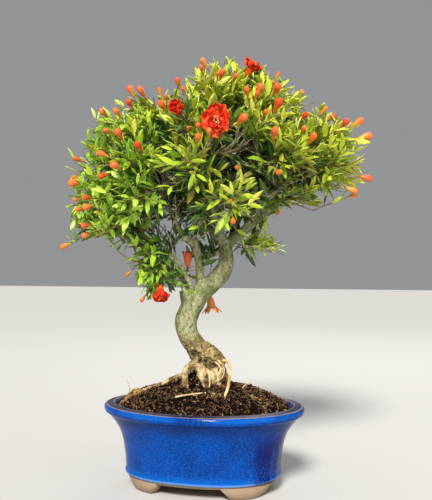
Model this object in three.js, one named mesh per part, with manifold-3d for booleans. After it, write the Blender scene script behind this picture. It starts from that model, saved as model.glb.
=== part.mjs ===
// A pomegranate bonsai in flower, growing in an oval glazed pot.
// Millimetres, +Z up. The pot's long axis lies along X and its front faces -Y.
// The tree is described in its own frame, which stands at the middle of the pot, FOOT.low above
// the table, and is turned by TREE_TURN: x across the tree's front, y away from it, z up.
import * as THREE from "three";
import { mergeVertices } from "three/addons/utils/BufferGeometryUtils.js";
import Module from "manifold-3d";

const wasm = await Module();
wasm.setup();

// ---------------------------------------------------------------- driving dimensions
const GAP = 0.3; // between pieces that touch on the real plant
const SLOPE_GAP = 0.4; // the same, across faces that slope
const TREE_TURN = THREE.MathUtils.degToRad(16.6);
const UP = new THREE.Vector3(0, 0, 1);

const POT = { halfLength: 125, ratio: 0.735, height: 98.6, segments: 28, squareness: 0.42 };
// The pot's outside: [height, distance inside the lip's edge], from under the floor to the lip.
const POT_OUTSIDE = [
  [11, 36],
  [15.5, 32],
  [34, 29],
  [53, 26],
  [68, 20.4],
  [80, 11.4],
  [86.5, 5.4],
  [88.5, 1.4],
  [95, 0],
  [98.6, 3.6],
];
// The pot's inside, from the lip down to the floor.
const POT_INSIDE = [
  [98, 12.4],
  [92, 15.4],
  [68, 28.5],
  [20, 37],
];
const DRAIN = { radius: 9, x: 42, depth: 40, sides: 12 };
// A foot spans two bearings of the oval, is sunk into the floor, narrows where it stands and
// reaches `low` below the level that every height here is measured from.
const FOOT = {
  from: 9, to: 68, stations: 5, depth: 20, height: 14, sunk: 2, low: 3, taper: 0.62, inset: 33,
};

// The mound of soil: its height at the edge and the crown, and the shares of its width that its
// rings of crumbs stand at.
const SOIL = { edge: 92.5, crown: 121, fullness: 3.2, crumb: 1.6, rings: [0.92, 0.76, 0.52, 0.26] };

// A loose dead twig that lies on the mound: its ends in the tree's frame and its radii.
const STICK = { from: [-32, -53], to: [3.2, -41.5], radii: [1.4, 1], sides: 5, steps: 12 };

// Wood: each row is a control point [x, y, z, radius].
const TRUNK = [
  [10, 1, 66, 11],
  [9, 1, 104, 15.5],
  [7, 0, 134, 17],
  [1, -1, 154, 15.4],
  [-9, -3, 168, 13.2],
  [-18.2, -3, 182, 12.9],
  [-21.3, -2, 197, 13.4],
  [-18.2, 0, 208, 13.6],
  [-12, 2, 219.5, 13.4],
  [-4, 3, 231, 12.6],
  [9.9, 3, 243.5, 11.6],
  [23.6, 2, 257.5, 10.6],
  [28.5, 1, 273, 9.5],
  [27.7, 0, 286, 8.8],
  [26, 0, 299, 7.6],
];
const ROOTS = [
  // the arched root in front and its two legs
  [[-10, -12, 150, 5.6], [-15, -18, 146.5, 4.8], [-20.5, -21, 141, 4.4], [-22, -21.5, 132, 4.2],
    [-19.5, -21, 104, 3.4]],
  [[-10, -12, 150, 5.6], [-7.5, -19, 147, 5.4], [-3.5, -22, 142, 5.4], [-1, -23, 134.5, 5.4],
    [1.5, -23, 125, 4.6], [3, -23, 104, 3.6]],
  // the root that runs left over the mound
  [[-20, -16, 139, 4], [-34, -15, 131.5, 3.2], [-51, -12, 123, 2.7], [-66, -4, 116.5, 2.3],
    [-80, 6, 108, 2]],
  // the air root in front on the right, a curl beside it and a small one between
  [[22, -11, 151, 3], [31, -21, 149.5, 2.2], [32, -36, 138, 2], [29, -46, 124, 2], [24, -56, 104, 1.8]],
  [[21, -12, 148, 1.7], [26, -17, 141, 1.4], [22, -17.5, 133, 1.3], [15, -14, 128, 1.3]],
  [[9, -15, 134, 2], [10, -23, 127, 1.5], [8, -26, 106, 1.2]],
  // the roots that spread behind and to the right
  [[8, -6, 164, 9], [17, -8, 155.5, 8.4], [21, -9, 148, 7.4], [19, -11, 134, 7.4], [18, -13, 108, 6.4]],
  [[8, 10, 150, 9], [15, 24, 137, 7.6], [21, 36, 121, 6], [26, 46, 102, 4]],
  [[-4, 10, 150, 8], [-14, 26, 136, 6.4], [-24, 38, 119, 5], [-32, 46, 102, 3.4]],
  [[14, 3, 148, 9], [22, 10, 135, 7], [28, 19, 119, 5.4], [32, 27, 102, 4]],
];
const STUB = [[-20, 0, 221, 7.4], [-22.3, -1, 229, 6.2], [-24, -1, 236, 5.2]];
// Limbs. Every spray's and bloom's branch grows from one of these.
const LIMBS = {
  leader: [[26, 0, 292, 7.2], [19, -1, 308, 5.8], [14, -4, 325, 5.2], [3, -8, 347, 4.6], [-8, -10, 372, 4],
    [-15, -8, 398, 3.4], [-16, -4, 424, 2.6], [-8, 0, 452, 1.7]],
  right: [[26, 0, 291, 7.6], [38, 2, 299, 6.6], [58.5, 4, 317, 5.8], [75, 5, 332, 5.4], [96, 4, 350, 4.6],
    [126, 2, 362, 3.2], [154, 0, 372, 1.8]],
  rightUp: [[82, 4, 338, 4.6], [78, -2, 366, 3.8], [72, -8, 392, 3.2], [68, -8, 420, 2.6],
    [62, -4, 448, 1.7]],
  stem: [[-4, 4, 238, 6], [-4, 0, 258, 4.8], [-6, -2, 275, 4.6], [-9.4, -3, 290, 5.8], [-10, -3, 298, 5.2]],
  inner: [[-10, -4, 292, 4], [-23, -8, 300, 3.2], [-31, -10, 313, 3], [-38, -12, 328, 2.9],
    [-46, -14, 352, 2.7], [-48, -14, 376, 2.5], [-50, -12, 405, 2.1], [-50, -8, 432, 1.6]],
  lowLeft: [[-12, 0, 226, 4.6], [-14.5, -3, 240, 3.6], [-22.5, -5, 257, 3.4], [-31, -8, 271, 3.2],
    [-50, -12, 283, 2.9], [-76, -16, 292, 2.4], [-104, -18, 304, 1.7]],
  backRight: [[27, 3, 280, 6], [35, 20, 299, 4.8], [44, 42, 322, 4.2], [57, 62, 350, 3.4],
    [66, 76, 385, 2.6], [60, 74, 418, 1.7]],
  backLeft: [[24, 2, 294, 5.4], [9, 18, 313, 4.4], [-12, 38, 332, 3.8], [-38, 54, 352, 3.2],
    [-56, 62, 380, 2.5], [-54, 60, 412, 1.7]],
  backLow: [[-12, 6, 231, 5], [-26, 19, 250, 3.8], [-44, 33, 272, 3.2], [-70, 44, 296, 2.5],
    [-94, 48, 316, 1.7]],
  front: [[11, -5, 330, 4], [9, -24, 348, 3.3], [7, -42, 368, 2.8], [10, -58, 395, 2.3],
    [14, -60, 422, 1.6]],
  frontRight: [[62, 4, 320, 4.4], [68, -18, 337, 3.4], [80, -38, 349, 2.9], [94, -54, 362, 2.4],
    [104, -60, 382, 1.7]],
  frontLeft: [[-40, -13, 334, 3], [-52, -32, 348, 2.6], [-66, -47, 358, 2.2], [-77, -55, 368, 1.6]],
  farRight: [[98, 4, 353, 4.2], [108, 24, 360, 3.2], [120, 44, 370, 2.5], [128, 56, 386, 1.7]],
};
const SIDES = { trunk: 8, root: 5, stub: 5, limb: 6, thinLimb: 4 };
const THICK_LIMB = 5; // the radius from which a limb gets the sides of a thick one
const BRANCH = { root: 1.8, tip: 1.6, sides: 3, steps: 2, reach: 0.45 };
// A branch leaves one of `samples` points along a limb, from the one named `from` on: the nearest,
// with a cost for each millimetre that it would rise too little or lead back.
const CARRIER = { samples: 12, from: 4, rise: 8, flatCost: 0.8, backCost: 1.6 };

// The crown: rings of sprays. Each ring's sprays end on an ellipse about (x, y) at height z,
// and point out from it, risen above the level by an angle in degrees.
const CROWN = [
  { z: 506, x: 32, y: 0, rx: 42, ry: 36, count: 3, turn: 0.25, rise: 70 },
  { z: 478, x: 16, y: 0, rx: 108, ry: 84, count: 7, turn: 0.1, rise: 45 },
  { z: 436, x: 24, y: 0, rx: 160, ry: 120, count: 9, turn: 0.35, rise: 22 },
  { z: 386, x: 25, y: 0, rx: 182, ry: 136, count: 9, turn: 0.45, rise: 3 },
  { z: 334, x: -14, y: 0, rx: 150, ry: 112, count: 7, turn: 0.7, rise: -12 },
];
const UNEVEN = { turn: 0.3, rise: 14, height: 12 }; // how far a ring's sprays stray from even
// Sprays that stand apart from the rings: [tip x, y, z, bearing, rise].
const STRAYS = [
  [-126, -54, 300, 212, -20],
  [-120, 42, 290, 160, -24],
  [-170, 2, 288, 184, -28],
  [-84, -30, 262, 205, -38],
  [-70, 8, 228, 170, -62],
  [102, 24, 280, 14, -18],
];
const SPRAY = { length: 74, stray: 54, sag: 5, stemRoot: 1.6, stemTip: 1, point: 4 };
const WHORLS = { size: 3, main: [0.2, 0.38, 0.56, 0.75, 0.94], side: [0.52, 0.94] }; // along a shoot
// The side shoot: where it leaves the stem, the way it turns from it, how far it lifts, its radius at
// the stem and the share of it that has no leaves.
const SIDE_SHOOT = {
  at: 0.45, turn: 35, wander: 70, spread: 50, length: 34, lift: 3, root: 0.6, bare: 0.2,
};
const LEAF = { length: 25, width: 7.4, widest: 0.42, step: 1.7, bare: 4, clear: 3.2 };
// How a leaf stands: its angle to the stem, its swing to the side and its turn to the light.
const LEAF_STAND = { spread: [42, 66], swing: 0.5, light: 0.18, outward: 0.35, sizes: [0.78, 1.12] };
const LEAF_TRIES = { count: 8, small: 5, smallSize: 0.75 }; // to stand clear, the last ones smaller
const BUD = { rings: [[6, 1.5], [11, 4.2], [14.5, 3.4]], length: 16.5 }; // [past the stem's end, radius]
const BUD_SHARE = 0.5; // of the shoots end in a bud

// Blooms: centre of the mouth, the way it faces, and what it is made of.
const BLOOMS = [
  { name: "front", at: [15, -126, 424], faces: [0.05, -1, 0.05], petals: 1, stamens: true },
  { name: "upper", at: [-30, -108, 443], faces: [-0.25, -0.9, 0.35], petals: 0.62 },
  { name: "top", at: [62, -22, 512], faces: [0.5, -0.2, 0.84], petals: 0.7 },
  { name: "low", at: [-50, -34, 227], faces: [0.1, -0.42, -0.9], petals: 0.8 },
  { name: "back_left", at: [-72, 106, 446], faces: [-0.5, 0.8, 0.33], petals: 1 },
  { name: "back_right", at: [104, 116, 424], faces: [0.45, 0.87, 0.2], petals: 0.9 },
  { name: "tube", at: [-19, 16, 284], faces: [0.02, -0.06, 1], shut: true },
  { name: "star", at: [11, 30, 208], faces: [0.1, -0.1, -1] },
];
// The calyx: [distance from its foot, radius] outside and in, and how its six teeth spread.
const BLOOM_DEPTH = 20; // from a bloom's foot to its mouth
const CALYX = { outside: [[0, 1.8], [6, 4.2]], rim: [14, 5.8], inside: [[9.6, 3.4], [9.5, 0]], floor: 9.6 };
const TEETH = { count: 6, height: 3.6, flare: 1.6, shutFlare: 0.95, notch: 1.6 };
// Petals grow from the rings of a short rod, in layers: rise above the level, length, width, and
// on which of the rod's sides they stand, every one or every other one.
const PETALS = {
  sides: 6,
  rings: [[0, 1.2], [2.2, 1.9], [4, 2.2], [5.8, 1.8]],
  end: 1,
  layers: [
    { rise: 45, length: 18, width: 9.4, every: 1 },
    { rise: 66, length: 13, width: 6.4, every: 2 },
  ],
};
const PETAL = { widest: 0.62, end: 0.97, blunt: 0.55, swell: 0.5, thick: 1.1, ruffle: 0.9, nod: 8 };
const STAMENS = { sides: 5, rings: [[0, 0.9], [1.2, 1], [2.4, 0.9]], end: 1 };
const STAMEN = { rise: 70, length: 6, width: 1.8, widest: 0.6 };

// The room that finished pieces keep for themselves: the radii round a bloom's stalk and mouth, the
// share of a limb's radius, the trunk's two uppermost stretches (by control point, from the end),
// and the number of straight stretches that stand for a bent piece.
const KEEP = { stalk: 5, stalkLength: 12, mouth: 14, shutMouth: 8, mouthDepth: 6, limbShare: 0.7 };
const KEEP_TRUNK = [{ from: -6, to: -4, radius: 11 }, { from: -4, to: -1, radius: 9 }];
const STRETCHES = { limb: 6, branch: 3, stem: 4, sideStem: 2 };

// The draws of `chance`: how far apart the seeds of two pieces lie, and which draw settles what.
const SEED = { spray: 1000, sideShoot: 300, bloom: 100, ring: 10, leafTry: 7 };
const DRAW = {
  spray: { turn: 1, rise: 2, height: 3, endBud: 40, sideBud: 50, sideTurn: 60 },
  leaf: { spread: 1, swing: 2, size: 3 },
  petal: { nod: 5, ruffle: 10 },
};

const COLOURS = {
  glaze: [0x1c4fb4, 0.16],
  soil: [0x3a281c, 0.95],
  bark: [0xa89b78, 0.8],
  deadWood: [0xc7a878, 0.85],
  leaf: [0x7fae2e, 0.45],
  calyx: [0xf0541e, 0.35],
  petal: [0xe0261a, 0.5],
  stamen: [0xf3d9a0, 0.6],
};

// ---------------------------------------------------------------- small helpers
// A number from 0 to 1 that belongs to the pair (i, j), the same on every run.
function chance(i, j) {
  const wave = Math.sin(i * 12.9898 + j * 78.233) * 43758.5453;
  return wave - Math.floor(wave);
}

const SAME_PLACE = 1e-4; // corners nearer than this are one
const NOTHING = 1e-9; // an amount that counts as none
const NEARLY_UPRIGHT = 0.9; // the rise of a direction that counts as upright
const { lerp, degToRad, radToDeg, clamp } = THREE.MathUtils;
const vec = (a) => new THREE.Vector3(a[0], a[1], a[2]);
const along = (from, way, reach) => from.clone().addScaledVector(way, reach);

function bearing(degrees, rise) {
  const a = degToRad(degrees);
  const b = degToRad(rise);
  return new THREE.Vector3(Math.cos(a) * Math.cos(b), Math.sin(a) * Math.cos(b), Math.sin(b));
}

// The direction that leans from `flat` towards `high` by an angle in degrees.
function leaning(flat, high, degrees) {
  const a = degToRad(degrees);
  return flat.clone().multiplyScalar(Math.cos(a)).addScaledVector(high, Math.sin(a));
}

function solidOf(geometry) {
  const bare = new THREE.BufferGeometry().setAttribute("position", geometry.getAttribute("position"));
  bare.setIndex(geometry.getIndex());
  const merged = mergeVertices(bare, SAME_PLACE);
  const vertProperties = merged.attributes.position.array;
  const triVerts = new Uint32Array(merged.index.array);
  return new wasm.Manifold(new wasm.Mesh({ numProp: 3, vertProperties, triVerts }));
}

const joined = (solids) => solids.reduce((whole, next) => whole.add(next));

function meshOf(name, solid, [colour, roughness]) {
  const { vertProperties, triVerts } = solid.getMesh();
  const geometry = new THREE.BufferGeometry();
  geometry.setAttribute("position", new THREE.BufferAttribute(new Float32Array(vertProperties), 3));
  geometry.setIndex(new THREE.BufferAttribute(new Uint32Array(triVerts), 1));
  const material = new THREE.MeshStandardMaterial({ color: colour, roughness, metalness: 0 });
  const mesh = new THREE.Mesh(geometry, material);
  mesh.name = name;
  return mesh;
}

// Stations along a curve, each with a frame that doesn't twist: side, ahead and over.
function stationsOn(curve, stops) {
  let side = null;
  return stops.map((t) => {
    const at = curve.getPoint(t);
    const ahead = curve.getTangent(t).normalize();
    const isUpright = Math.abs(ahead.z) >= NEARLY_UPRIGHT;
    if (!side) side = new THREE.Vector3().crossVectors(ahead, isUpright ? new THREE.Vector3(1, 0, 0) : UP);
    side = along(side, ahead, -side.dot(ahead)).normalize();
    return { at, ahead, side, over: new THREE.Vector3().crossVectors(side, ahead) };
  });
}

// A closed round rod bent along a curve; radiusAt gives its radius from 0 to 1 along it.
function rodOn(curve, radiusAt, sides, steps) {
  const stations = stationsOn(curve, Array.from({ length: steps + 1 }, (_, i) => i / steps));
  const shape = new THREE.CylinderGeometry(1, 1, steps, sides, steps);
  const p = shape.getAttribute("position");
  for (let i = 0; i < p.count; i++) {
    const k = Math.round(p.getY(i) + steps / 2);
    const { at, side, over } = stations[k];
    const r = radiusAt(k / steps);
    const v = along(along(at, side, p.getX(i) * r), over, p.getZ(i) * r);
    p.setXYZ(i, v.x, v.y, v.z);
  }
  return solidOf(shape);
}

// The smooth curve and the radius rule that run through rows of [x, y, z, radius].
function routeOf(rows) {
  const curve = new THREE.CatmullRomCurve3(rows.map(vec), false, "catmullrom", 0.5);
  const radiusAt = (t) => {
    const place = t * (rows.length - 1);
    const k = Math.min(Math.floor(place), rows.length - 2);
    return lerp(rows[k][3], rows[k + 1][3], place - k);
  };
  return { curve, radiusAt };
}

// A rod through rows of [x, y, z, radius], one step a row, thicker all over by `extra`.
function limb(rows, sides, extra = 0) {
  const { curve, radiusAt } = routeOf(rows);
  return rodOn(curve, (t) => radiusAt(t) + extra, sides, rows.length - 1);
}

// A turned form from rows of [height, radius], whose every vertex `place` then puts in its place.
function turned(rows, segments, place) {
  const lathe = new THREE.LatheGeometry(rows.map(([z, r]) => new THREE.Vector2(r, z)), segments);
  const p = lathe.getAttribute("position");
  for (let i = 0; i < p.count; i++) {
    const step = Math.floor(i / rows.length) % segments;
    const v = place(rows[i % rows.length], (2 * Math.PI * step) / segments, step);
    p.setXYZ(i, v.x, v.y, v.z);
  }
  return lathe;
}

// ---------------------------------------------------------------- keeping pieces clear
// Every piece of the crown is also kept as capsules, so that a later one can be bent clear.
const taken = [];

function take(from, to, radius, owner) {
  taken.push({ from, to, radius, owner });
}

function takeAlong(curve, radius, owner, parts) {
  const ends = Array.from({ length: parts + 1 }, (_, i) => curve.getPoint(i / parts));
  for (let i = 0; i < parts; i++) take(ends[i], ends[i + 1], radius, owner);
}

function distanceBetween(p, q, r, s) {
  const a = q.clone().sub(p);
  const b = s.clone().sub(r);
  const w = p.clone().sub(r);
  const aa = a.dot(a);
  const bb = b.dot(b);
  const ab = a.dot(b);
  const aw = a.dot(w);
  const bw = b.dot(w);
  const det = aa * bb - ab * ab;
  let i = det > NOTHING ? clamp((ab * bw - bb * aw) / det, 0, 1) : 0;
  const j = clamp((ab * i + bw) / bb, 0, 1);
  i = clamp((ab * j - aw) / aa, 0, 1);
  return w.addScaledVector(a, i).addScaledVector(b, -j).length();
}

function isFree(from, to, radius, owner) {
  return taken.every((other) => {
    const needed = radius + other.radius + GAP;
    return other.owner === owner || distanceBetween(from, to, other.from, other.to) > needed;
  });
}

// ---------------------------------------------------------------- blades on a rod
// The way out of side j of a ring, and the way along that side; j - 1/2 gives corner j.
function sideOf({ side, over, turn = 0 }, sides, j) {
  const degrees = (360 * (j + 1)) / sides + radToDeg(turn);
  return { out: leaning(side, over, degrees), left: leaning(side, over, degrees + 90) };
}

// A rod of few sides, ring after ring, from whose side faces blades grow as one skin with it.
// rings: { at, ahead, side, over, radius, turn }. blades: "segment,side" -> blade.
function sproutingRod(rings, sides, blades, endPoint) {
  const points = [];
  const faces = [];
  const put = (v) => points.push(v.x, v.y, v.z) / 3 - 1;
  const cornerOf = (ring, j) => put(along(ring.at, sideOf(ring, sides, j - 0.5).out, ring.radius));
  const corner = rings.map((ring) => Array.from({ length: sides }, (_, j) => cornerOf(ring, j)));
  const foot = put(rings[0].at);
  const end = put(endPoint);
  for (let j = 0; j < sides; j++) {
    const next = (j + 1) % sides;
    faces.push([foot, corner[0][j], corner[0][next]]);
    faces.push([end, corner.at(-1)[next], corner.at(-1)[j]]);
  }
  for (let i = 0; i + 1 < rings.length; i++) {
    for (let j = 0; j < sides; j++) {
      const next = (j + 1) % sides;
      const [a, b, c, d] = [corner[i][next], corner[i][j], corner[i + 1][j], corner[i + 1][next]];
      const blade = blades.get(i + "," + j);
      if (blade) faces.push(...bladeFaces(a, b, c, d, blade, put));
      else faces.push([a, b, c], [a, c, d]);
    }
  }
  const geometry = new THREE.BufferGeometry();
  geometry.setAttribute("position", new THREE.BufferAttribute(new Float32Array(points), 3));
  geometry.setIndex(faces.flat());
  return geometry;
}

// The skin of a blade that grows out of the face a, b, c, d: a fan over its rim on both sides,
// drawn from its tip, or from the swell in its middle where it has one.
function bladeFaces(a, b, c, d, blade, put) {
  const rim = blade.rim.map(put);
  const left = rim[0];
  const right = rim.at(-1);
  const faces = [[a, left, d], [b, c, right]];
  if (!blade.swell) {
    const tip = rim[1];
    faces.push([d, left, tip], [d, tip, c], [c, tip, right], [a, tip, left], [a, b, tip], [b, right, tip]);
    return faces;
  }
  const [top, bottom] = blade.swell.map(put);
  const edge = [d, ...rim, c];
  const under = [a, ...rim, b];
  for (let i = 0; i + 1 < edge.length; i++) {
    faces.push([edge[i], edge[i + 1], top], [under[i + 1], under[i], bottom]);
  }
  faces.push([c, d, top], [a, b, bottom]);
  return faces;
}

// ---------------------------------------------------------------- pot
function squareAt(z) {
  return 2 / (2 + POT.squareness * (1 - z / POT.height)); // how full the oval's shoulders are
}

// Places a point of the pot's oval: r along X, less across, with shoulders fuller than an ellipse's.
function ovalPoint([z, r, crumb = 0], angle, place) {
  const bend = (v) => (Math.abs(v) < NOTHING ? 0 : Math.sign(v) * Math.abs(v) ** squareAt(z));
  const lift = crumb * (2 * chance(place, Math.round(r)) - 1);
  return new THREE.Vector3(r * bend(Math.cos(angle)), r * POT.ratio * bend(Math.sin(angle)), z + lift);
}

function potSolid() {
  const wall = [...POT_OUTSIDE, ...POT_INSIDE].map(([z, inset]) => [z, POT.halfLength - inset]);
  const rows = [[POT_OUTSIDE[0][0], 0], ...wall, [POT_INSIDE.at(-1)[0], 0]];
  let pot = solidOf(turned(rows, POT.segments, ovalPoint));
  for (const x of [-DRAIN.x, DRAIN.x]) {
    const drain = new THREE.CylinderGeometry(DRAIN.radius, DRAIN.radius, DRAIN.depth, DRAIN.sides);
    pot = pot.subtract(solidOf(drain.rotateX(Math.PI / 2).translate(x, 0, DRAIN.depth / 2)));
  }
  for (const [mx, my] of [[1, 1], [-1, 1], [-1, -1], [1, -1]]) pot = pot.add(footSolid(mx, my));
  return pot;
}

// One corner foot: a curved block under the pot's shoulder.
function footSolid(mx, my) {
  const e = squareAt(POT_OUTSIDE[0][0]);
  const rim = (inset) =>
    Array.from({ length: FOOT.stations }, (_, i) => {
      const a = degToRad(lerp(FOOT.from, FOOT.to, i / (FOOT.stations - 1)));
      const r = POT.halfLength - inset;
      return new THREE.Vector2(mx * r * Math.cos(a) ** e, my * r * POT.ratio * Math.sin(a) ** e);
    });
  const outline = [...rim(FOOT.inset), ...rim(FOOT.inset + FOOT.depth).reverse()];
  if (mx * my < 0) outline.reverse();
  const depth = FOOT.height + FOOT.sunk;
  const block = new THREE.ExtrudeGeometry(new THREE.Shape(outline), { depth, bevelEnabled: false });
  const middle = outline.reduce((sum, v) => sum.add(v), new THREE.Vector2()).divideScalar(outline.length);
  const p = block.getAttribute("position");
  for (let i = 0; i < p.count; i++) {
    if (p.getZ(i) > depth / 2) continue;
    p.setX(i, lerp(middle.x, p.getX(i), FOOT.taper));
    p.setY(i, lerp(middle.y, p.getY(i), FOOT.taper));
  }
  return solidOf(block.translate(0, 0, -FOOT.low));
}

// ---------------------------------------------------------------- soil and what lies on it
function soilSolid(holes) {
  const reach = POT.halfLength - SLOPE_GAP;
  const wall = POT_INSIDE.slice(1).reverse().map(([z, inset]) => [z, reach - inset]);
  wall[0][0] += GAP;
  const edge = wall.at(-1)[1];
  const mound = SOIL.rings.map((share) => [
    SOIL.edge + (SOIL.crown - SOIL.edge) * (1 - share ** SOIL.fullness),
    edge * share,
    SOIL.crumb,
  ]);
  const rows = [[wall[0][0], 0], ...wall, [SOIL.edge, edge], ...mound, [SOIL.crown, 0]];
  return solidOf(turned(rows, POT.segments, ovalPoint)).subtract(holes);
}

// The loose twig: straight, and let down until it first touches the soil.
function stickSolid(soil) {
  const place = ([x, y]) => new THREE.Vector3(x, y, 0).applyAxisAngle(UP, TREE_TURN);
  const from = place(STICK.from);
  const to = place(STICK.to);
  soil.updateMatrixWorld(true);
  const heightAt = (t) => {
    const above = along(from.clone().lerp(to, t), UP, 2 * SOIL.crown);
    return new THREE.Raycaster(above, UP.clone().negate()).intersectObject(soil)[0].point.z;
  };
  const stops = Array.from({ length: STICK.steps + 1 }, (_, i) => i / STICK.steps);
  const radiusAt = (t) => lerp(...STICK.radii, t);
  from.z = heightAt(0);
  to.z = heightAt(1);
  const lift = Math.max(...stops.map((t) => heightAt(t) + radiusAt(t) - lerp(from.z, to.z, t)));
  const lay = UP.clone().multiplyScalar(lift + SLOPE_GAP);
  return rodOn(new THREE.LineCurve3(from.add(lay), to.add(lay)), radiusAt, STICK.sides, 1);
}

// ---------------------------------------------------------------- wood
// Trunk and roots; with `extra`, the plain holes in the soil that they stand in.
function trunkSolid(extra = 0) {
  return joined([limb(TRUNK, SIDES.trunk, extra), ...ROOTS.map((rows) => limb(rows, SIDES.root, extra))]);
}

function limbSolid(rows) {
  takeAlong(routeOf(rows).curve, rows[0][3] * KEEP.limbShare, "wood", STRETCHES.limb);
  return limb(rows, rows[0][3] > THICK_LIMB ? SIDES.limb : SIDES.thinLimb);
}

// The point on a limb that a branch to `base` leaves from.
function carrierOf(base, way) {
  let best = { cost: Infinity };
  for (const rows of Object.values(LIMBS)) {
    const { curve } = routeOf(rows);
    for (let k = CARRIER.from; k <= CARRIER.samples; k++) {
      const at = curve.getPoint(k / CARRIER.samples);
      const reach = base.clone().sub(at);
      const flat = Math.max(0, CARRIER.rise - reach.z);
      const back = Math.max(0, -reach.dot(way));
      const cost = reach.length() + CARRIER.flatCost * flat + CARRIER.backCost * back;
      if (cost < best.cost) best = { cost, at };
    }
  }
  return best.at;
}

// The branch that ends at `base`, heading `way`.
function branchSolid({ base, way }) {
  const at = carrierOf(base, way);
  const bend = along(base, way, -BRANCH.reach * base.distanceTo(at));
  const curve = new THREE.QuadraticBezierCurve3(at, bend, base);
  takeAlong(curve, BRANCH.root, "wood", STRETCHES.branch);
  return rodOn(curve, (t) => lerp(BRANCH.root, BRANCH.tip, t), BRANCH.sides, BRANCH.steps);
}

// ---------------------------------------------------------------- sprays
// Where every spray starts and ends.
function sprayPlan() {
  const plan = [];
  for (const ring of CROWN) {
    for (let k = 0; k < ring.count; k++) {
      const n = plan.length;
      const turn = ring.turn + UNEVEN.turn * (chance(n, DRAW.spray.turn) - 0.5);
      const a = (2 * Math.PI * (k + turn)) / ring.count;
      const rise = ring.rise + UNEVEN.rise * (chance(n, DRAW.spray.rise) - 0.5);
      const z = ring.z + UNEVEN.height * (chance(n, DRAW.spray.height) - 0.5);
      const out = new THREE.Vector3(ring.rx * Math.cos(a), ring.ry * Math.sin(a), 0);
      const tip = new THREE.Vector3(ring.x, ring.y, z).add(out);
      plan.push({ tip, way: bearing(radToDeg(Math.atan2(out.y, out.x)), rise), length: SPRAY.length });
    }
  }
  for (const [x, y, z, toward, rise] of STRAYS) {
    plan.push({ tip: new THREE.Vector3(x, y, z), way: bearing(toward, rise), length: SPRAY.stray });
  }
  return plan.map(({ tip, way, length }, i) => {
    const base = along(tip, way, -length);
    const middle = along(base.clone().lerp(tip, 0.5), UP, SPRAY.sag);
    const curve = new THREE.QuadraticBezierCurve3(along(base, way, GAP), middle, tip);
    return { name: "spray_" + String(i + 1).padStart(2, "0"), base, way, curve };
  });
}

// One leafy shoot: a three-sided stem, each whorl of leaves turned half a side on from the last,
// ending in a point or a bud.
function leafyShoot(curve, whorls, radius, owner, seed, hasBud) {
  const step = LEAF.step / curve.getLength();
  const stops = [0, ...whorls.flatMap((t) => [t - step, t])];
  const rings = stationsOn(curve, stops).map((station, i) => {
    const turn = (Math.ceil(i / 2) * Math.PI) / WHORLS.size;
    return { ...station, turn, radius: lerp(radius, SPRAY.stemTip, stops[i]) };
  });
  const blades = new Map();
  for (let segment = 1; segment < rings.length; segment += 2) {
    for (let j = 0; j < WHORLS.size; j++) {
      const blade = leafOn(rings[segment], rings[segment + 1], j, owner, seed + SEED.ring * segment + j);
      if (blade) blades.set(segment + "," + j, blade);
    }
  }
  const { at, ahead, ...last } = rings.at(-1);
  if (hasBud) {
    BUD.rings.forEach(([reach, r], k) => {
      const turn = last.turn + (k * Math.PI) / WHORLS.size;
      rings.push({ ...last, ahead, at: along(at, ahead, reach), radius: r, turn });
    });
  }
  const end = along(at, ahead, hasBud ? BUD.length : SPRAY.point);
  return solidOf(sproutingRod(rings, WHORLS.size, blades, end));
}

// A leaf on side j between two rings, turned until it lies clear of every other spray.
function leafOn(low, high, j, owner, seed) {
  const { out, left } = sideOf(low, WHORLS.size, j);
  const root = along(low.at.clone().lerp(high.at, 0.5), out, low.radius / 2);
  for (let k = 0; k < LEAF_TRIES.count; k++) {
    const draw = (n) => chance(seed, SEED.leafTry * k + n);
    const shrink = k < LEAF_TRIES.small ? 1 : LEAF_TRIES.smallSize;
    const size = lerp(...LEAF_STAND.sizes, draw(DRAW.leaf.size)) * shrink;
    const way = leaning(low.ahead, out, lerp(...LEAF_STAND.spread, draw(DRAW.leaf.spread)));
    way.addScaledVector(left, LEAF_STAND.swing * (draw(DRAW.leaf.swing) - 0.5));
    way.addScaledVector(UP, LEAF_STAND.light).normalize();
    const tip = along(root, way, LEAF.length * size);
    const from = along(root, way, LEAF.bare);
    if (way.dot(out) < LEAF_STAND.outward || !isFree(from, tip, LEAF.clear, owner)) continue;
    take(from, tip, LEAF.clear, owner);
    const across = along(left, way, -left.dot(way)).normalize();
    const wide = along(root, way, LEAF.length * size * LEAF.widest);
    const half = (LEAF.width * size) / 2;
    return { rim: [along(wide, across, half), tip, along(wide, across, -half)] };
  }
  return null;
}

function spraySolid({ name, curve }, i) {
  const seed = SEED.spray * i;
  const endsInBud = chance(i, DRAW.spray.endBud) < BUD_SHARE;
  const main = leafyShoot(curve, WHORLS.main, SPRAY.stemRoot, name, seed, endsInBud);
  const side = sideShoot(curve, i);
  if (!isFree(side.getPoint(SIDE_SHOOT.bare), side.getPoint(1), LEAF.clear, name)) return main;
  takeAlong(side, SPRAY.stemTip, name, STRETCHES.sideStem);
  const sideSeed = seed + SEED.sideShoot;
  const sideEndsInBud = chance(i, DRAW.spray.sideBud) < BUD_SHARE;
  return main.add(leafyShoot(side, WHORLS.side, SIDE_SHOOT.root, name + ".side", sideSeed, sideEndsInBud));
}

function sideShoot(curve, i) {
  const [{ at, ahead, side, over }] = stationsOn(curve, [SIDE_SHOOT.at]);
  const turn = SIDE_SHOOT.turn + SIDE_SHOOT.wander * (chance(i, DRAW.spray.sideTurn) - 0.5);
  const out = leaning(side, over, turn);
  const way = leaning(ahead, out, SIDE_SHOOT.spread);
  const end = along(along(at, way, SIDE_SHOOT.length), UP, SIDE_SHOOT.lift);
  return new THREE.QuadraticBezierCurve3(at, along(at, way, SIDE_SHOOT.length / 2), end);
}

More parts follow.
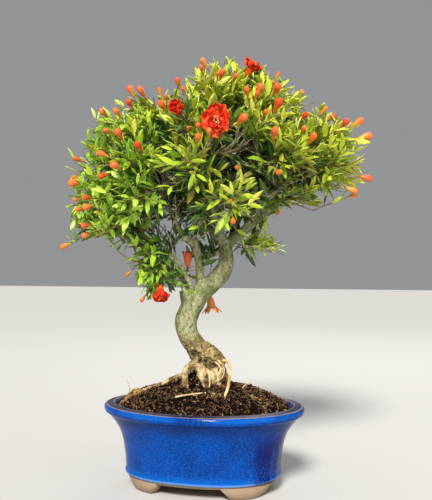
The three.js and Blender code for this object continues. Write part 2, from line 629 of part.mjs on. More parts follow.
// ---------------------------------------------------------------- blooms
// Each bloom is drawn upright, from its foot at the origin to its mouth above it.
function calyxSolid(isShut) {
  const flare = isShut ? TEETH.shutFlare : TEETH.flare;
  const rows = [[0, 0], ...CALYX.outside, CALYX.rim, ...CALYX.inside];
  const cup = turned(rows, TEETH.count * 2, (row, angle, step) => {
    const [z, r] = row;
    const isRim = row === CALYX.rim;
    const isTooth = step % 2 === 0;
    const grow = isRim && isTooth ? flare : 1;
    const lift = isRim ? (isTooth ? TEETH.height : -TEETH.notch) : 0;
    return new THREE.Vector3(r * grow * Math.cos(angle), r * grow * Math.sin(angle), z + lift);
  });
  return solidOf(cup);
}

// Rings of an upright rod, from rows of [height, radius].
function uprightRings(start, rows) {
  const axis = { ahead: UP, side: new THREE.Vector3(1, 0, 0), over: new THREE.Vector3(0, -1, 0) };
  return rows.map(([z, radius]) => ({ ...axis, at: new THREE.Vector3(0, 0, start + z), radius }));
}

// The petals: a short rod on the calyx's floor with crumpled petals out of its sides.
function petalSolid(size, seed) {
  const rings = uprightRings(CALYX.floor + GAP, PETALS.rings);
  const blades = new Map();
  PETALS.layers.forEach((layer, k) => {
    for (let j = 0; j < PETALS.sides; j += layer.every) {
      blades.set(k + 1 + "," + j, petalOn(rings[k + 1], j, layer, size, seed + SEED.ring * k + j));
    }
  });
  return solidOf(sproutingRod(rings, PETALS.sides, blades, along(rings.at(-1).at, UP, PETALS.end)));
}

function petalOn(ring, j, { rise, length, width }, size, seed) {
  const { out, left } = sideOf(ring, PETALS.sides, j);
  const way = leaning(out, UP, rise + PETAL.nod * (chance(seed, DRAW.petal.nod) - 0.5));
  const above = along(UP, way, -UP.dot(way)).normalize();
  const root = along(ring.at, out, ring.radius);
  const point = (reach, across, lift) => {
    const middle = along(root, way, reach * length * size);
    return along(along(middle, left, (across * width * size) / 2), above, lift);
  };
  const wave = (k) => PETAL.ruffle * (2 * chance(seed, DRAW.petal.ruffle + k) - 1);
  const rim = [
    point(PETAL.widest, 1, wave(0)),
    point(PETAL.end, PETAL.blunt, wave(1)),
    point(PETAL.end, -PETAL.blunt, wave(2)),
    point(PETAL.widest, -1, wave(3)),
  ];
  return { rim, swell: [point(PETAL.swell, 0, PETAL.thick / 2), point(PETAL.swell, 0, -PETAL.thick / 2)] };
}

// The stamens: a pale star that stands on the petals' rod.
function stamenSolid() {
  const start = CALYX.floor + GAP + PETALS.rings.at(-1)[0] + PETALS.end + GAP;
  const rings = uprightRings(start, STAMENS.rings);
  const blades = new Map();
  for (let j = 0; j < STAMENS.sides; j++) {
    const { out, left } = sideOf(rings[1], STAMENS.sides, j);
    const way = leaning(out, UP, STAMEN.rise);
    const root = along(rings[1].at, out, rings[1].radius);
    const wide = along(root, way, STAMEN.length * STAMEN.widest);
    const edge = (sign) => along(wide, left, (sign * STAMEN.width) / 2);
    blades.set("1," + j, { rim: [edge(1), along(root, way, STAMEN.length), edge(-1)] });
  }
  return solidOf(sproutingRod(rings, STAMENS.sides, blades, along(rings.at(-1).at, UP, STAMENS.end)));
}

function bloomGroup({ name, foot, way, petals, stamens, shut }, seed) {
  const bloom = new THREE.Group();
  bloom.position.copy(foot);
  bloom.quaternion.setFromUnitVectors(UP, way);
  bloom.add(meshOf("bloom_" + name + "_calyx", calyxSolid(shut), COLOURS.calyx));
  if (petals) bloom.add(meshOf("bloom_" + name + "_petals", petalSolid(petals, seed), COLOURS.petal));
  if (stamens) bloom.add(meshOf("bloom_" + name + "_stamens", stamenSolid(), COLOURS.stamen));
  return bloom;
}

// ---------------------------------------------------------------- the whole plant
const sprays = sprayPlan();
const blooms = BLOOMS.map((bloom) => {
  const way = vec(bloom.faces).normalize();
  const foot = along(vec(bloom.at), way, -BLOOM_DEPTH);
  return { ...bloom, way, foot, mouth: vec(bloom.at), base: along(foot, way, -GAP) };
});

const limbs = Object.values(LIMBS).map(limbSolid);
for (const { from, to, radius } of KEEP_TRUNK) take(vec(TRUNK.at(from)), vec(TRUNK.at(to)), radius, "wood");
const branches = [...sprays, ...blooms].map(branchSolid);
const wood = joined([trunkSolid(), limb(STUB, SIDES.stub), ...limbs, ...branches]);

for (const { name, foot, way, mouth, petals } of blooms) {
  take(foot, along(foot, way, KEEP.stalkLength), KEEP.stalk, name);
  take(along(mouth, way, -KEEP.mouthDepth), mouth, petals ? KEEP.mouth * petals : KEEP.shutMouth, name);
}
for (const { name, curve } of sprays) takeAlong(curve, SPRAY.stemRoot, name, STRETCHES.stem);

const tree = new THREE.Group();
tree.rotation.z = TREE_TURN;
tree.add(meshOf("wood", wood, COLOURS.bark));
blooms.forEach((bloom, i) => tree.add(bloomGroup(bloom, SEED.bloom * (i + 1))));
sprays.forEach((spray, i) => tree.add(meshOf(spray.name, spraySolid(spray, i + 1), COLOURS.leaf)));

const holes = trunkSolid(SLOPE_GAP).rotate([0, 0, radToDeg(TREE_TURN)]);
const soil = meshOf("soil", soilSolid(holes), COLOURS.soil);

const group = new THREE.Group();
group.add(meshOf("pot", potSolid(), COLOURS.glaze));
group.add(soil, meshOf("stick", stickSolid(soil), COLOURS.deadWood), tree);

// The part's origin: the middle of the ground that the whole plant covers.
const box = new THREE.Box3().setFromObject(group, true);
group.position.set(-(box.min.x + box.max.x) / 2, -(box.min.y + box.max.y) / 2, -box.min.z);

export default group;
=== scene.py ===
# %% [markdown]
# # A pomegranate bonsai in a blue oval pot
# A little tree is thousands of small things on a few big ones: a pot, soil, a trunk that forks
# into branches, and on those the shoots with their leaves, buds and blooms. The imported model
# holds all of it as plain solids. Here each solid gets a finished piece of the same form.

# %% Load the plain model
import math
import random

import bmesh
import bpy
from mathutils import Matrix, Vector, noise
from mathutils.kdtree import KDTree


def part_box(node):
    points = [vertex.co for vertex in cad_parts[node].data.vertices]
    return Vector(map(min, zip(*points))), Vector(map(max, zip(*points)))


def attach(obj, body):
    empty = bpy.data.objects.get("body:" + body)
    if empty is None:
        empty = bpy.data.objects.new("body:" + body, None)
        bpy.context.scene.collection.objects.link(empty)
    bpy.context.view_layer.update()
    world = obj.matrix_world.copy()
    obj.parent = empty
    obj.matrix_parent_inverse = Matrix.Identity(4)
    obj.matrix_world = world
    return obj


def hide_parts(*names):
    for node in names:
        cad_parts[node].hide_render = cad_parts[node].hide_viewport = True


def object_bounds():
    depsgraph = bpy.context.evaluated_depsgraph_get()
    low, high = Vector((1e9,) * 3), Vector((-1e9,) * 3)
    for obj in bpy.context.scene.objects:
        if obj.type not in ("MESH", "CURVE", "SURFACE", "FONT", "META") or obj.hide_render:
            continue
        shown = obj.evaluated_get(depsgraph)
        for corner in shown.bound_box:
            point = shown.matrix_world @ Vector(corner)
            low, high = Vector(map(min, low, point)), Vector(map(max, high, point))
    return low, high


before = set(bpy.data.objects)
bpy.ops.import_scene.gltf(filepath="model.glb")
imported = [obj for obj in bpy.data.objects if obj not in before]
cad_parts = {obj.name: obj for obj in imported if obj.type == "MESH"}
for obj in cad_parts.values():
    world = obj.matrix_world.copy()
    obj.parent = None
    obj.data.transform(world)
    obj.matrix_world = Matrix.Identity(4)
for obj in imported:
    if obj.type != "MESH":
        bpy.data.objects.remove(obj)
PLAIN_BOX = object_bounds()
print("plain model:", len(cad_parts), "nodes")

# %% [markdown]
# ## Working in millimetres
# Gardeners and potters measure in millimetres, Blender in metres. So every shape is drawn in
# millimetres in a frame of its own, with the pot's foot at the origin, and is moved once at the
# end. The tree stands a little turned in its pot, and a second frame turns with it.

# %% The two drawing frames
MM = 0.001
TREE_TURN = math.radians(16.6)
UP = Vector((0, 0, 1))
FEET_REACH = 3.0  # mm by which the feet stand below the level that heights are measured from

pot_low, pot_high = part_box("pot")
POT_FOOT = (pot_low + pot_high) / 2
POT_FOOT.z = pot_low.z + FEET_REACH * MM
IN_POT = Matrix.Translation(POT_FOOT) @ Matrix.Scale(MM, 4)
IN_TREE = Matrix.Translation(POT_FOOT) @ Matrix.Rotation(TREE_TURN, 4, "Z") @ Matrix.Scale(MM, 4)
print("pot's foot in the part:", [round(v, 4) for v in POT_FOOT])

# %% [markdown]
# ## Finishing a piece
# Each piece goes through the same door: its place is put in its mesh, it gets one material, it
# rides on the plant's only body, and the plain solids it stands for are hidden.


# %% From a drawn mesh to a finished piece
def settle(bm, name):
    """A mesh from a finished bmesh, with its faces turned out."""
    bmesh.ops.recalc_face_normals(bm, faces=bm.faces)
    mesh = bpy.data.meshes.new(name)
    bm.to_mesh(mesh)
    bm.free()
    return mesh


def template(bm, name):
    """A mesh that copies are made of, with room for the tint that each copy gets."""
    mesh = settle(bm, name)
    mesh.attributes.new("tint", "FLOAT_COLOR", "POINT")
    return mesh


def with_height(mesh, full):
    """Notes for the paint how far up each point of a template lies, from 0 to 1."""
    layer = mesh.attributes.new("height", "FLOAT", "POINT")
    layer.data.foreach_set("value", [vert.co.z / full for vert in mesh.vertices])
    return mesh


def finish(name, mesh, paint, stands_for=(), place=IN_TREE):
    """Puts a mesh drawn in millimetres in its place as a piece of the plant."""
    mesh.transform(place)
    mesh.shade_smooth()
    mesh.materials.clear()
    mesh.materials.append(paint.material)
    piece = bpy.data.objects.new(name, mesh)
    bpy.context.scene.collection.objects.link(piece)
    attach(piece, "root")
    if stands_for:
        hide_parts(*stands_for)
    return piece


def report(*pieces):
    for piece in pieces:
        triangles = sum(len(p.vertices) - 2 for p in piece.data.polygons)
        print(f"{piece.name}: {triangles} triangles")


# %% [markdown]
# ## Shader maths as Python
# A node tree can be clicked together or written node by node, but it is easier to read as a
# formula. `Wire` wraps a socket so that `1 - mask` or `a * 2 + b` adds the Math nodes by itself.
# Colours are given as they look on a screen, because that is how one judges them.


# %% Colours and wires
def srgb(red, green, blue):
    """A colour as it looks on a screen, from 0 to 255, as the numbers that light adds up in."""
    shares = [colour / 255 for colour in (red, green, blue)]
    linear = [((c + 0.055) / 1.055) ** 2.4 if c > 10 / 255 else c / 12.92 for c in shares]
    return (*linear, 1.0)


class Wire:
    """A node's output that Python's operators work on."""

    def __init__(self, paint, socket):
        self.paint = paint
        self.socket = socket

    def math(self, operation, first, second=0.0):
        return self.paint.node("ShaderNodeMath", {"operation": operation}, {0: first, 1: second})

    def __add__(self, other):
        return self.math("ADD", self, other)

    def __sub__(self, other):
        return self.math("SUBTRACT", self, other)

    def __rsub__(self, other):
        return self.math("SUBTRACT", other, self)

    def __mul__(self, other):
        return self.math("MULTIPLY", self, other)

    def __abs__(self):
        return self.math("ABSOLUTE", self)

    __radd__ = __add__
    __rmul__ = __mul__


print("mid grey is", round(srgb(128, 128, 128)[0], 3), "of white")

# %% [markdown]
# ## A box of paints
# A paint is a material of which one method makes every node: its kind, its settings, and the
# values or wires of its sockets. The short methods under it are the few strokes that all the
# paints share: a place, a noise, a soft step, a mix of two colours, and relief.


# %% Paints
class Paint:
    """A material whose nodes are all made by one method."""

    def __init__(self, name, **constants):
        self.material = bpy.data.materials.new(name)
        self.material.use_nodes = True
        self.tree = self.material.node_tree
        self.shader = self.tree.nodes["Principled BSDF"]
        for socket, value in constants.items():
            self.shader.inputs[socket.replace("_", " ")].default_value = value

    def node(self, kind, settings=None, sockets=None, out=0):
        """A node with its settings made first, then its sockets; gives one of its outputs."""
        made = self.tree.nodes.new(kind)
        for name, value in (settings or {}).items():
            if name == "stops":
                self.set_stops(made.color_ramp, value)
            else:
                setattr(made, name, value)
        for name, value in (sockets or {}).items():
            self.plug(made.inputs[name], value)
        return Wire(self, made.outputs[out])

    def plug(self, socket, value):
        if isinstance(value, Wire):
            self.tree.links.new(value.socket, socket)
        else:
            socket.default_value = value

    def set_stops(self, ramp, stops):
        while len(ramp.elements) < len(stops):
            ramp.elements.new(1.0)
        for element, (at, colour) in zip(ramp.elements, stops):
            element.position = at
            element.color = colour

    def wear(self, **sockets):
        """Feeds the surface: Base_Color, Roughness, Normal and the like."""
        for name, value in sockets.items():
            self.plug(self.shader.inputs[name.replace("_", " ")], value)

    def place(self, turn=0.0, scale=(1, 1, 1)):
        """Where a point lies on the piece, from the pot's foot, if need be turned and stretched."""
        at = self.node("ShaderNodeTexCoord", out="Object")
        spots = {"Vector": at, "Location": POT_FOOT}
        centred = self.node("ShaderNodeMapping", {"vector_type": "TEXTURE"}, spots)
        sockets = {"Vector": centred, "Rotation": (0, 0, -turn), "Scale": scale}
        return self.node("ShaderNodeMapping", {"vector_type": "POINT"}, sockets)

    def distance(self, at, spot):
        """How far a point is from a spot of the tree's frame, in metres."""
        turned = Matrix.Rotation(TREE_TURN, 3, "Z") @ spot * MM
        return self.node("ShaderNodeVectorMath", {"operation": "DISTANCE"}, {0: at, 1: turned}, out=1)

    def part(self, vector, axis):
        return self.node("ShaderNodeSeparateXYZ", {}, {0: vector}, out=axis)

    def noise(self, at, scale, detail=3.0, roughness=0.5):
        sockets = {"Vector": at, "Scale": scale, "Detail": detail, "Roughness": roughness}
        return self.node("ShaderNodeTexNoise", {}, sockets)

    def cells(self, at, scale):
        return self.node("ShaderNodeTexVoronoi", {}, {"Vector": at, "Scale": scale})

    def attribute(self, name, out="Fac"):
        return self.node("ShaderNodeAttribute", {"attribute_name": name}, out=out)

    def ease(self, value, low, high):
        """0 below low, 1 above high and smooth between them; low may be the higher number."""
        sockets = {"Value": value, "From Min": low, "From Max": high}
        return self.node("ShaderNodeMapRange", {"interpolation_type": "SMOOTHSTEP"}, sockets)

    def mix(self, share, low, high, blend="MIX"):
        settings = {"data_type": "RGBA", "blend_type": blend}
        return self.node("ShaderNodeMix", settings, {0: share, 6: low, 7: high}, out=2)

    def ramp(self, value, *stops):
        return self.node("ShaderNodeValToRGB", {"stops": stops}, {0: value})

    def bump(self, height, depth):
        """Relief of that depth in millimetres for a height from 0 to 1."""
        sockets = {"Height": height, "Distance": depth * MM, "Strength": 1.0}
        return self.node("ShaderNodeBump", {}, sockets)


print("paint box ready")


# %% [markdown]
# ## Lines that bend
# Wood grows in smooth bends, so a limb is a few listed points with a curve through them, and
# a twig is a bow from one point to another. Both are drawn here as rows of places and radii,
# which a round pen then follows.


# %% Smooth routes
def bent(start, pull, end, share):
    """The point at a share of the bow from start to end that pull bends."""
    return start.lerp(pull, share).lerp(pull.lerp(end, share), share)


def through(rows, steps):
    """The smooth curve through rows of (x, y, z, radius), as places with a radius."""
    points = [Vector(row[:3]) for row in rows]
    points = [2 * points[0] - points[1], *points, 2 * points[-1] - points[-2]]
    route = []
    for i in range(len(rows) - 1):
        before, start, end, after = points[i : i + 4]
        first_pull = start + (end - before) / 6
        last_pull = end - (after - start) / 6
        for k in range(steps + (i == len(rows) - 2)):
            t = k / steps
            outer = bent(start, first_pull, last_pull, t)
            inner = bent(first_pull, last_pull, end, t)
            radius = rows[i][3] * (1 - t) + rows[i + 1][3] * t
            route.append((outer.lerp(inner, t), radius))
    return route


def bow(start, pull, end, radii, steps):
    """A bow from start to end whose radius runs from the first of radii to the second."""
    route = []
    for k in range(steps + 1):
        t = k / steps
        route.append((bent(start, pull, end, t), radii[0] * (1 - t) + radii[1] * t))
    return route


print("the middle of a sample bow:", [round(v, 2) for v in bow(Vector(), UP, UP, (1, 1), 2)[1][0]])

# %% [markdown]
# ## The round pen
# A rod could be lofted ring by ring, but a curve with a round bevel does the same and keeps its
# rings from twisting. It is turned into a mesh at once, with its ends closed, so that it can be
# joined, remeshed and put in its place like any other shape.


# %% Rods and modifiers
def rods(name, routes, roundness=0):
    """A closed round rod along each route, with 4 + 2 * roundness sides."""
    pen = bpy.data.curves.new(name, "CURVE")
    pen.dimensions = "3D"
    pen.fill_mode = "FULL"
    pen.bevel_depth = 1.0
    pen.bevel_resolution = roundness
    pen.use_fill_caps = True
    for route in routes:
        spline = pen.splines.new("POLY")
        spline.points.add(len(route) - 1)
        for point, (place, radius) in zip(spline.points, route):
            point.co = (*place, 1)
            point.radius = radius
    holder = bpy.data.objects.new(name, pen)
    mesh = bpy.data.meshes.new_from_object(holder)
    bpy.data.objects.remove(holder)
    bpy.data.curves.remove(pen)
    return mesh


def evaluated(mesh, modifiers):
    """The mesh after a stack of modifiers, each a kind and its settings."""
    holder = bpy.data.objects.new(mesh.name, mesh)
    bpy.context.scene.collection.objects.link(holder)
    for kind, settings in modifiers:
        modifier = holder.modifiers.new(kind, kind)
        for name, value in settings.items():
            setattr(modifier, name, value)
    graph = bpy.context.evaluated_depsgraph_get()
    made = bpy.data.meshes.new_from_object(holder.evaluated_get(graph))
    bpy.data.objects.remove(holder)
    return made


print("a short rod:", len(rods("sample", [bow(Vector(), UP, 2 * UP, (1, 1), 2)]).polygons), "faces")

# %% [markdown]
# ## Directions that lean
# Leaves, twigs and side shoots all leave a line at an angle, in some direction round it. Angles on
# three axes get confusing, so a direction is always made from another one, by leaning away from it
# after a turn round it.


# %% Leaning directions
def leaning(flat, high, angle):
    """The direction that leans from flat towards high by an angle."""
    return flat * math.cos(angle) + high * math.sin(angle)


def bearing(angle, rise):
    flat = Vector((math.cos(angle), math.sin(angle), 0))
    return leaning(flat, UP, rise)


def across(way):
    """A direction square to way, as near to upright as can be."""
    side = UP - way * way.dot(UP)
    if side.length < 0.1:
        side = way.orthogonal()
    return side.normalized()


def off(way, turn, lean):
    """The direction that leans away from way by one angle, turned round it by another."""
    side = across(way)
    return leaning(way, leaning(side, way.cross(side), turn), lean)


def measured(route):
    """A route's places, and its length."""
    places = [place for place, _ in route]
    return places, sum((b - a).length for a, b in zip(places, places[1:]))


def spot_on(places, share):
    """The place at a share of a line of places, and the way the line runs there."""
    spot = share * (len(places) - 1)
    i = int(spot)
    return places[i].lerp(places[i + 1], spot - i), (places[i + 1] - places[i]).normalized()


print("a lean of 90 degrees off upright points to", [round(v, 3) for v in off(UP, 0, math.pi / 2)])

# %% [markdown]
# ## The camera
# The camera faces the tree's front from a little below the middle of its crown, through a lens
# a little longer than a normal one. The tree stands turned in its pot, so the pot is seen from a
# little to the right of its own front. A constraint could aim the camera, but it is enough to
# turn the way ahead by two small angles.

# %% Camera
EYE = {"away": 957, "height": 276, "yaw": 0.952, "pitch": 0.583, "focal": 64.67, "sensor": 36}
RIGHTWARD = Vector((math.cos(TREE_TURN), math.sin(TREE_TURN), 0))
FORWARD = Vector((-math.sin(TREE_TURN), math.cos(TREE_TURN), 0))

lens = bpy.data.cameras.new("camera")
lens.sensor_fit = "HORIZONTAL"
lens.sensor_width = EYE["sensor"]
lens.lens = EYE["focal"]
camera = bpy.data.objects.new("camera", lens)
camera.location = POT_FOOT + MM * (EYE["height"] * UP - EYE["away"] * FORWARD)
turned_right = RIGHTWARD * math.tan(math.radians(EYE["yaw"]))
tipped_up = UP * math.tan(math.radians(EYE["pitch"]))
camera.rotation_mode = "QUATERNION"
camera.rotation_quaternion = (FORWARD + turned_right + tipped_up).to_track_quat("-Z", "Y")
bpy.context.scene.collection.objects.link(camera)
bpy.context.scene.camera = camera
print("camera at", [round(v, 3) for v in camera.location])


# %% [markdown]
# ## Studio
# A sun with soft edges, above the camera and a little to its left, models the crown and lights
# the pot's lip. A wide weak lamp fills the right side, and another one behind the tree lights its
# edge. A grey sky would do alone, but then there are no shadows, and the glaze has nothing to
# mirror. The floor isn't part of the plant, so it isn't attached to the plant's body.

# %% Floor, lamps and sky
AIM = Vector((0, 0, 0.3))  # metres above the pot's foot, amid the tree
LAMPS = [  # kind, name, metres to the right, back and up, power, degrees or metres wide, colour
    ("SUN", "key", (-0.3, -1.5, 1.45), 5.0, math.radians(14), (1, 0.975, 0.93)),
    ("AREA", "fill", (1.4, -1.2, 0.8), 6, 1.2, (1, 1, 1)),
    ("AREA", "rim", (0.5, 1.4, 1.4), 7, 1.2, (1, 1, 1)),
]
SKY = {"Color": (0.86, 0.88, 0.9, 1), "Strength": 0.34}
FLOOR_HALF = 6  # metres


def lamp(kind, name, place, power, size, colour):
    """A lamp to the right, back and up of the pot's foot, aimed at the tree."""
    light = bpy.data.lights.new(name, kind)
    setattr(light, "angle" if kind == "SUN" else "size", size)
    light.energy = power
    light.color = colour
    holder = bpy.data.objects.new(name, light)
    right, back, height = place
    holder.location = POT_FOOT + right * RIGHTWARD + back * FORWARD + height * UP
    aim = POT_FOOT + AIM - holder.location
    holder.rotation_euler = aim.to_track_quat("-Z", "Y").to_euler()
    bpy.context.scene.collection.objects.link(holder)


for row in LAMPS:
    lamp(*row)

sky = bpy.data.worlds.new("sky")
sky.use_nodes = True
for socket, value in SKY.items():
    sky.node_tree.nodes["Background"].inputs[socket].default_value = value
bpy.context.scene.world = sky
bpy.context.scene.view_settings.view_transform = "Standard"

floor_paint = Paint("pale_floor", Base_Color=(0.6, 0.59, 0.57, 1), Roughness=0.9)
bm = bmesh.new()
bmesh.ops.create_grid(bm, x_segments=1, y_segments=1, size=FLOOR_HALF)
floor = bpy.data.objects.new("floor", settle(bm, "floor"))
floor.data.materials.append(floor_paint.material)
bpy.context.scene.collection.objects.link(floor)
print(len(LAMPS), "lamps over a floor", 2 * FLOOR_HALF, "m wide")

# %% [markdown]
# ## The pot's outline
# The pot was thrown and pressed into an oval: its wall flares to a broad lip, and stands on four
# corner feet. Turning one outline round the upright axis makes a round pot; then each point is
# pushed to the oval, whose shoulders are fuller low down than at the lip.

# %% Sizes of the pot
POT = {"half_length": 125, "ratio": 0.735, "height": 98.6, "squareness": 0.42, "steps": 168}
UNDERSIDE = 11
FLOOR = 20
# Height, how far in from the lip's edge, and how much clay shows through the glaze, from 0 to 1.
FOOT_ROLL = [
    (UNDERSIDE, 60, 1), (UNDERSIDE, 37.5, 1), (11.3, 36.2, 1), (12.2, 35.1, 1), (13.8, 33.2, 1),
    (14.4, 32.2, 0.9), (14.9, 31.0, 0.5), (15.7, 29.9, 0.15), (17.1, 29.1, 0), (18.7, 28.9, 0),
    (20.4, 29.6, 0), (22, 30.2, 0),
]
SIDE = [
    (34, 29.0, 0), (45, 27.2, 0), (54, 25.4, 0), (62, 22.8, 0), (68, 20.2, 0), (74, 16.3, 0),
    (80, 11.5, 0), (84, 7.9, 0),
]
LIP = [
    (86.2, 5.9, 0), (87.0, 4.6, 0), (87.6, 3.0, 0), (88.8, 1.5, 0), (91.0, 0.5, 0), (93.4, 0.1, 0),
    (95.2, 0.6, 0), (96.4, 1.7, 0.2), (97.1, 3.0, 0.8), (97.4, 4.0, 0.5), (97.5, 5.2, 0.1),
    (97.7, 7.2, 0), (98.0, 9.2, 0.05), (98.4, 11.0, 0.3), (98.6, 12.2, 0.75), (98.1, 13.4, 0.6),
]
INSIDE = [
    (96.6, 14.4, 0.4), (92, 15.4, 0.4), (80, 21.8, 0.6), (68, 28.5, 1), (45, 33.3, 1),
    (FLOOR, 37, 1), (FLOOR, 60, 1),
]
POT_LINE = FOOT_ROLL + SIDE + LIP + INSIDE
DRAIN = {"x": 42, "radius": 9, "depth": 40, "sides": 32}
print("the pot is", 2 * POT["half_length"], "mm long and", POT["height"], "mm high")


# %% [markdown]
# ## Round first, oval afterwards
# A potter throws such a pot round and presses it oval, or casts it. Here too the round shape is
# turned on a spindle, and its rings are then pushed out to a superellipse, which is fuller at the
# corners than a stretched circle. Rims and grooves keep their sharpness that way.

# %% Pushing a round shape to the oval
def squareness_at(z):
    """The power of the superellipse at a height; at the lip it is 1, a plain stretched circle."""
    return 2 / (2 + POT["squareness"] * (1 - z / POT["height"]))


def to_oval(bm):
    for vert in bm.verts:
        x, y, z = vert.co
        radius = math.hypot(x, y)
        if radius < 1e-6:
            continue
        power = squareness_at(z)
        vert.co.x = radius * math.copysign(abs(x / radius) ** power, x)
        vert.co.y = radius * POT["ratio"] * math.copysign(abs(y / radius) ** power, y)


def line_of(bm, points):
    """A chain of edges through points, ready to spin."""
    verts = [bm.verts.new(point) for point in points]
    return verts, [bm.edges.new(pair) for pair in zip(verts, verts[1:])]


def spun(bm, points, steps):
    """Turns a chain of (radius, height) points once round the upright axis."""
    verts, edges = line_of(bm, [(r, 0, z) for r, z in points])
    sweep = {"cent": (0, 0, 0), "axis": (0, 0, 1), "angle": 2 * math.pi, "steps": steps}
    bmesh.ops.spin(bm, geom=verts + edges, use_merge=True, **sweep)
    bmesh.ops.remove_doubles(bm, verts=bm.verts, dist=1e-4)


print("the oval's power low down and at the lip:", [round(squareness_at(z), 2) for z in (0, POT["height"])])

# %% [markdown]
# ## The body
# The body is one turned wall: foot roll, flared side, rolled lip, rim, and the inside down to the
# floor. The outline could be one curve, but short straight pieces with a few rounded ones show the
# break between lip and side. The attribute `bare` marks where the glaze is thin.

# %% The pot's body
def pot_body():
    bm = bmesh.new()
    bare = bm.verts.layers.float.new("bare")
    edge = POT["half_length"]
    outline = [(0.0, UNDERSIDE)] + [(edge - inset, z) for z, inset, _ in POT_LINE] + [(0.0, FLOOR)]
    spun(bm, outline, POT["steps"])
    shown = {(round(edge - inset, 1), round(z, 1)): amount for z, inset, amount in POT_LINE}
    for vert in bm.verts:
        key = (round(math.hypot(vert.co.x, vert.co.y), 1), round(vert.co.z, 1))
        vert[bare] = shown.get(key, 1.0)
    to_oval(bm)
    return settle(bm, "pot_body")


def drained(mesh):
    """The pot with its two drain holes cut by upright pins."""
    bm = bmesh.new()
    for x in (-DRAIN["x"], DRAIN["x"]):
        shift = Matrix.Translation((x, 0, UNDERSIDE))
        pin = {"segments": DRAIN["sides"], "radius1": DRAIN["radius"], "radius2": DRAIN["radius"]}
        bmesh.ops.create_cone(bm, cap_ends=True, matrix=shift, depth=DRAIN["depth"], **pin)
    pins = bpy.data.objects.new("pins", settle(bm, "pins"))
    bpy.context.scene.collection.objects.link(pins)
    cut = {"operation": "DIFFERENCE", "object": pins, "solver": "EXACT"}
    made = evaluated(mesh, [("BOOLEAN", cut)])
    bpy.data.objects.remove(pins)
    return made


body_mesh = drained(pot_body())
print("the pot's wall has", len(body_mesh.polygons), "faces")

# %% [markdown]
# ## The feet
# Four low corner feet of bare clay carry the pot. Each follows the oval of the base, so a stretch
# of the outline is drawn as a flat block, tapered downwards, and its edges are rounded with a
# bevel. Boxes turned to the corners would stand off the curve.

# %% The pot's feet
FOOT = {"start": 7, "end": 69, "depth": 22, "top": 13, "taper": 0.56, "inset": 32.4}
FOOT_EDGE = {"offset": 3.4, "segments": 3, "profile": 0.5, "affect": "EDGES", "material": -1}
SHARP = 0.6  # an edge of the feet that turns by more than this, in radians, gets rounded


def pot_feet():
    """Four curved blocks under the shoulders, narrower where they stand."""
    bm = bmesh.new()
    for mx, my in ((1, 1), (-1, 1), (-1, -1), (1, -1)):
        made = bmesh.ops.create_grid(bm, x_segments=8, y_segments=3, size=1)["verts"]
        for vert in made:
            angle = math.radians(FOOT["start"] + (vert.co.x + 1) / 2 * (FOOT["end"] - FOOT["start"]))
            radius = POT["half_length"] - FOOT["inset"] - (vert.co.y + 1) / 2 * FOOT["depth"]
            power = squareness_at(FOOT["top"])
            vert.co.x = mx * radius * math.cos(angle) ** power
            vert.co.y = my * radius * POT["ratio"] * math.sin(angle) ** power
            vert.co.z = FOOT["top"]
        faces = list({face for vert in made for face in vert.link_faces})
        block = bmesh.ops.extrude_face_region(bm, geom=faces)["geom"]
        low = [item for item in block if isinstance(item, bmesh.types.BMVert)]
        middle = sum((vert.co for vert in low), Vector()) / len(low)
        for vert in low:
            vert.co = middle + (vert.co - middle) * FOOT["taper"]
            vert.co.z = -FEET_REACH
        sharp = [edge for edge in bm.edges
                 if edge.calc_face_angle(0) > SHARP and all(vert in low for vert in edge.verts)]
        bmesh.ops.bevel(bm, geom=sharp, **FOOT_EDGE)
    return settle(bm, "pot_feet")


feet_mesh = pot_feet()
print("the four feet have", len(feet_mesh.polygons), "faces")

# %% [markdown]
# ## Cobalt glaze
# The glaze is a thick cobalt blue with a fine paler mottle. Under the lip it is painted darker, as
# painted shade, it pales in a band above the foot, and ran into dark violet streaks at the right.
# Paler blotches round the lip's outer face and a pale line on the foot roll are painted highlights.
# Where it is thin, on the lip's edge and at its lower end, the tan clay shows through. A painted
# picture could show all that, but noise and heights make it sharp at any size. Heights here are in metres.

# %% The glaze
COBALT = srgb(0, 60, 143)
COBALT_DEEP = srgb(0, 47, 119)
COBALT_DARK = srgb(0, 22, 74)
COBALT_PALE = srgb(8, 98, 190)
NAVY = srgb(6, 8, 84)
CLAY = srgb(126, 104, 84), srgb(164, 140, 116)
BREAK = srgb(146, 120, 106)
IRON = srgb(120, 86, 60)
PAINTED_ROLL_HIGHLIGHT = srgb(120, 176, 236)
RIM = srgb(18, 28, 60), srgb(62, 56, 60)


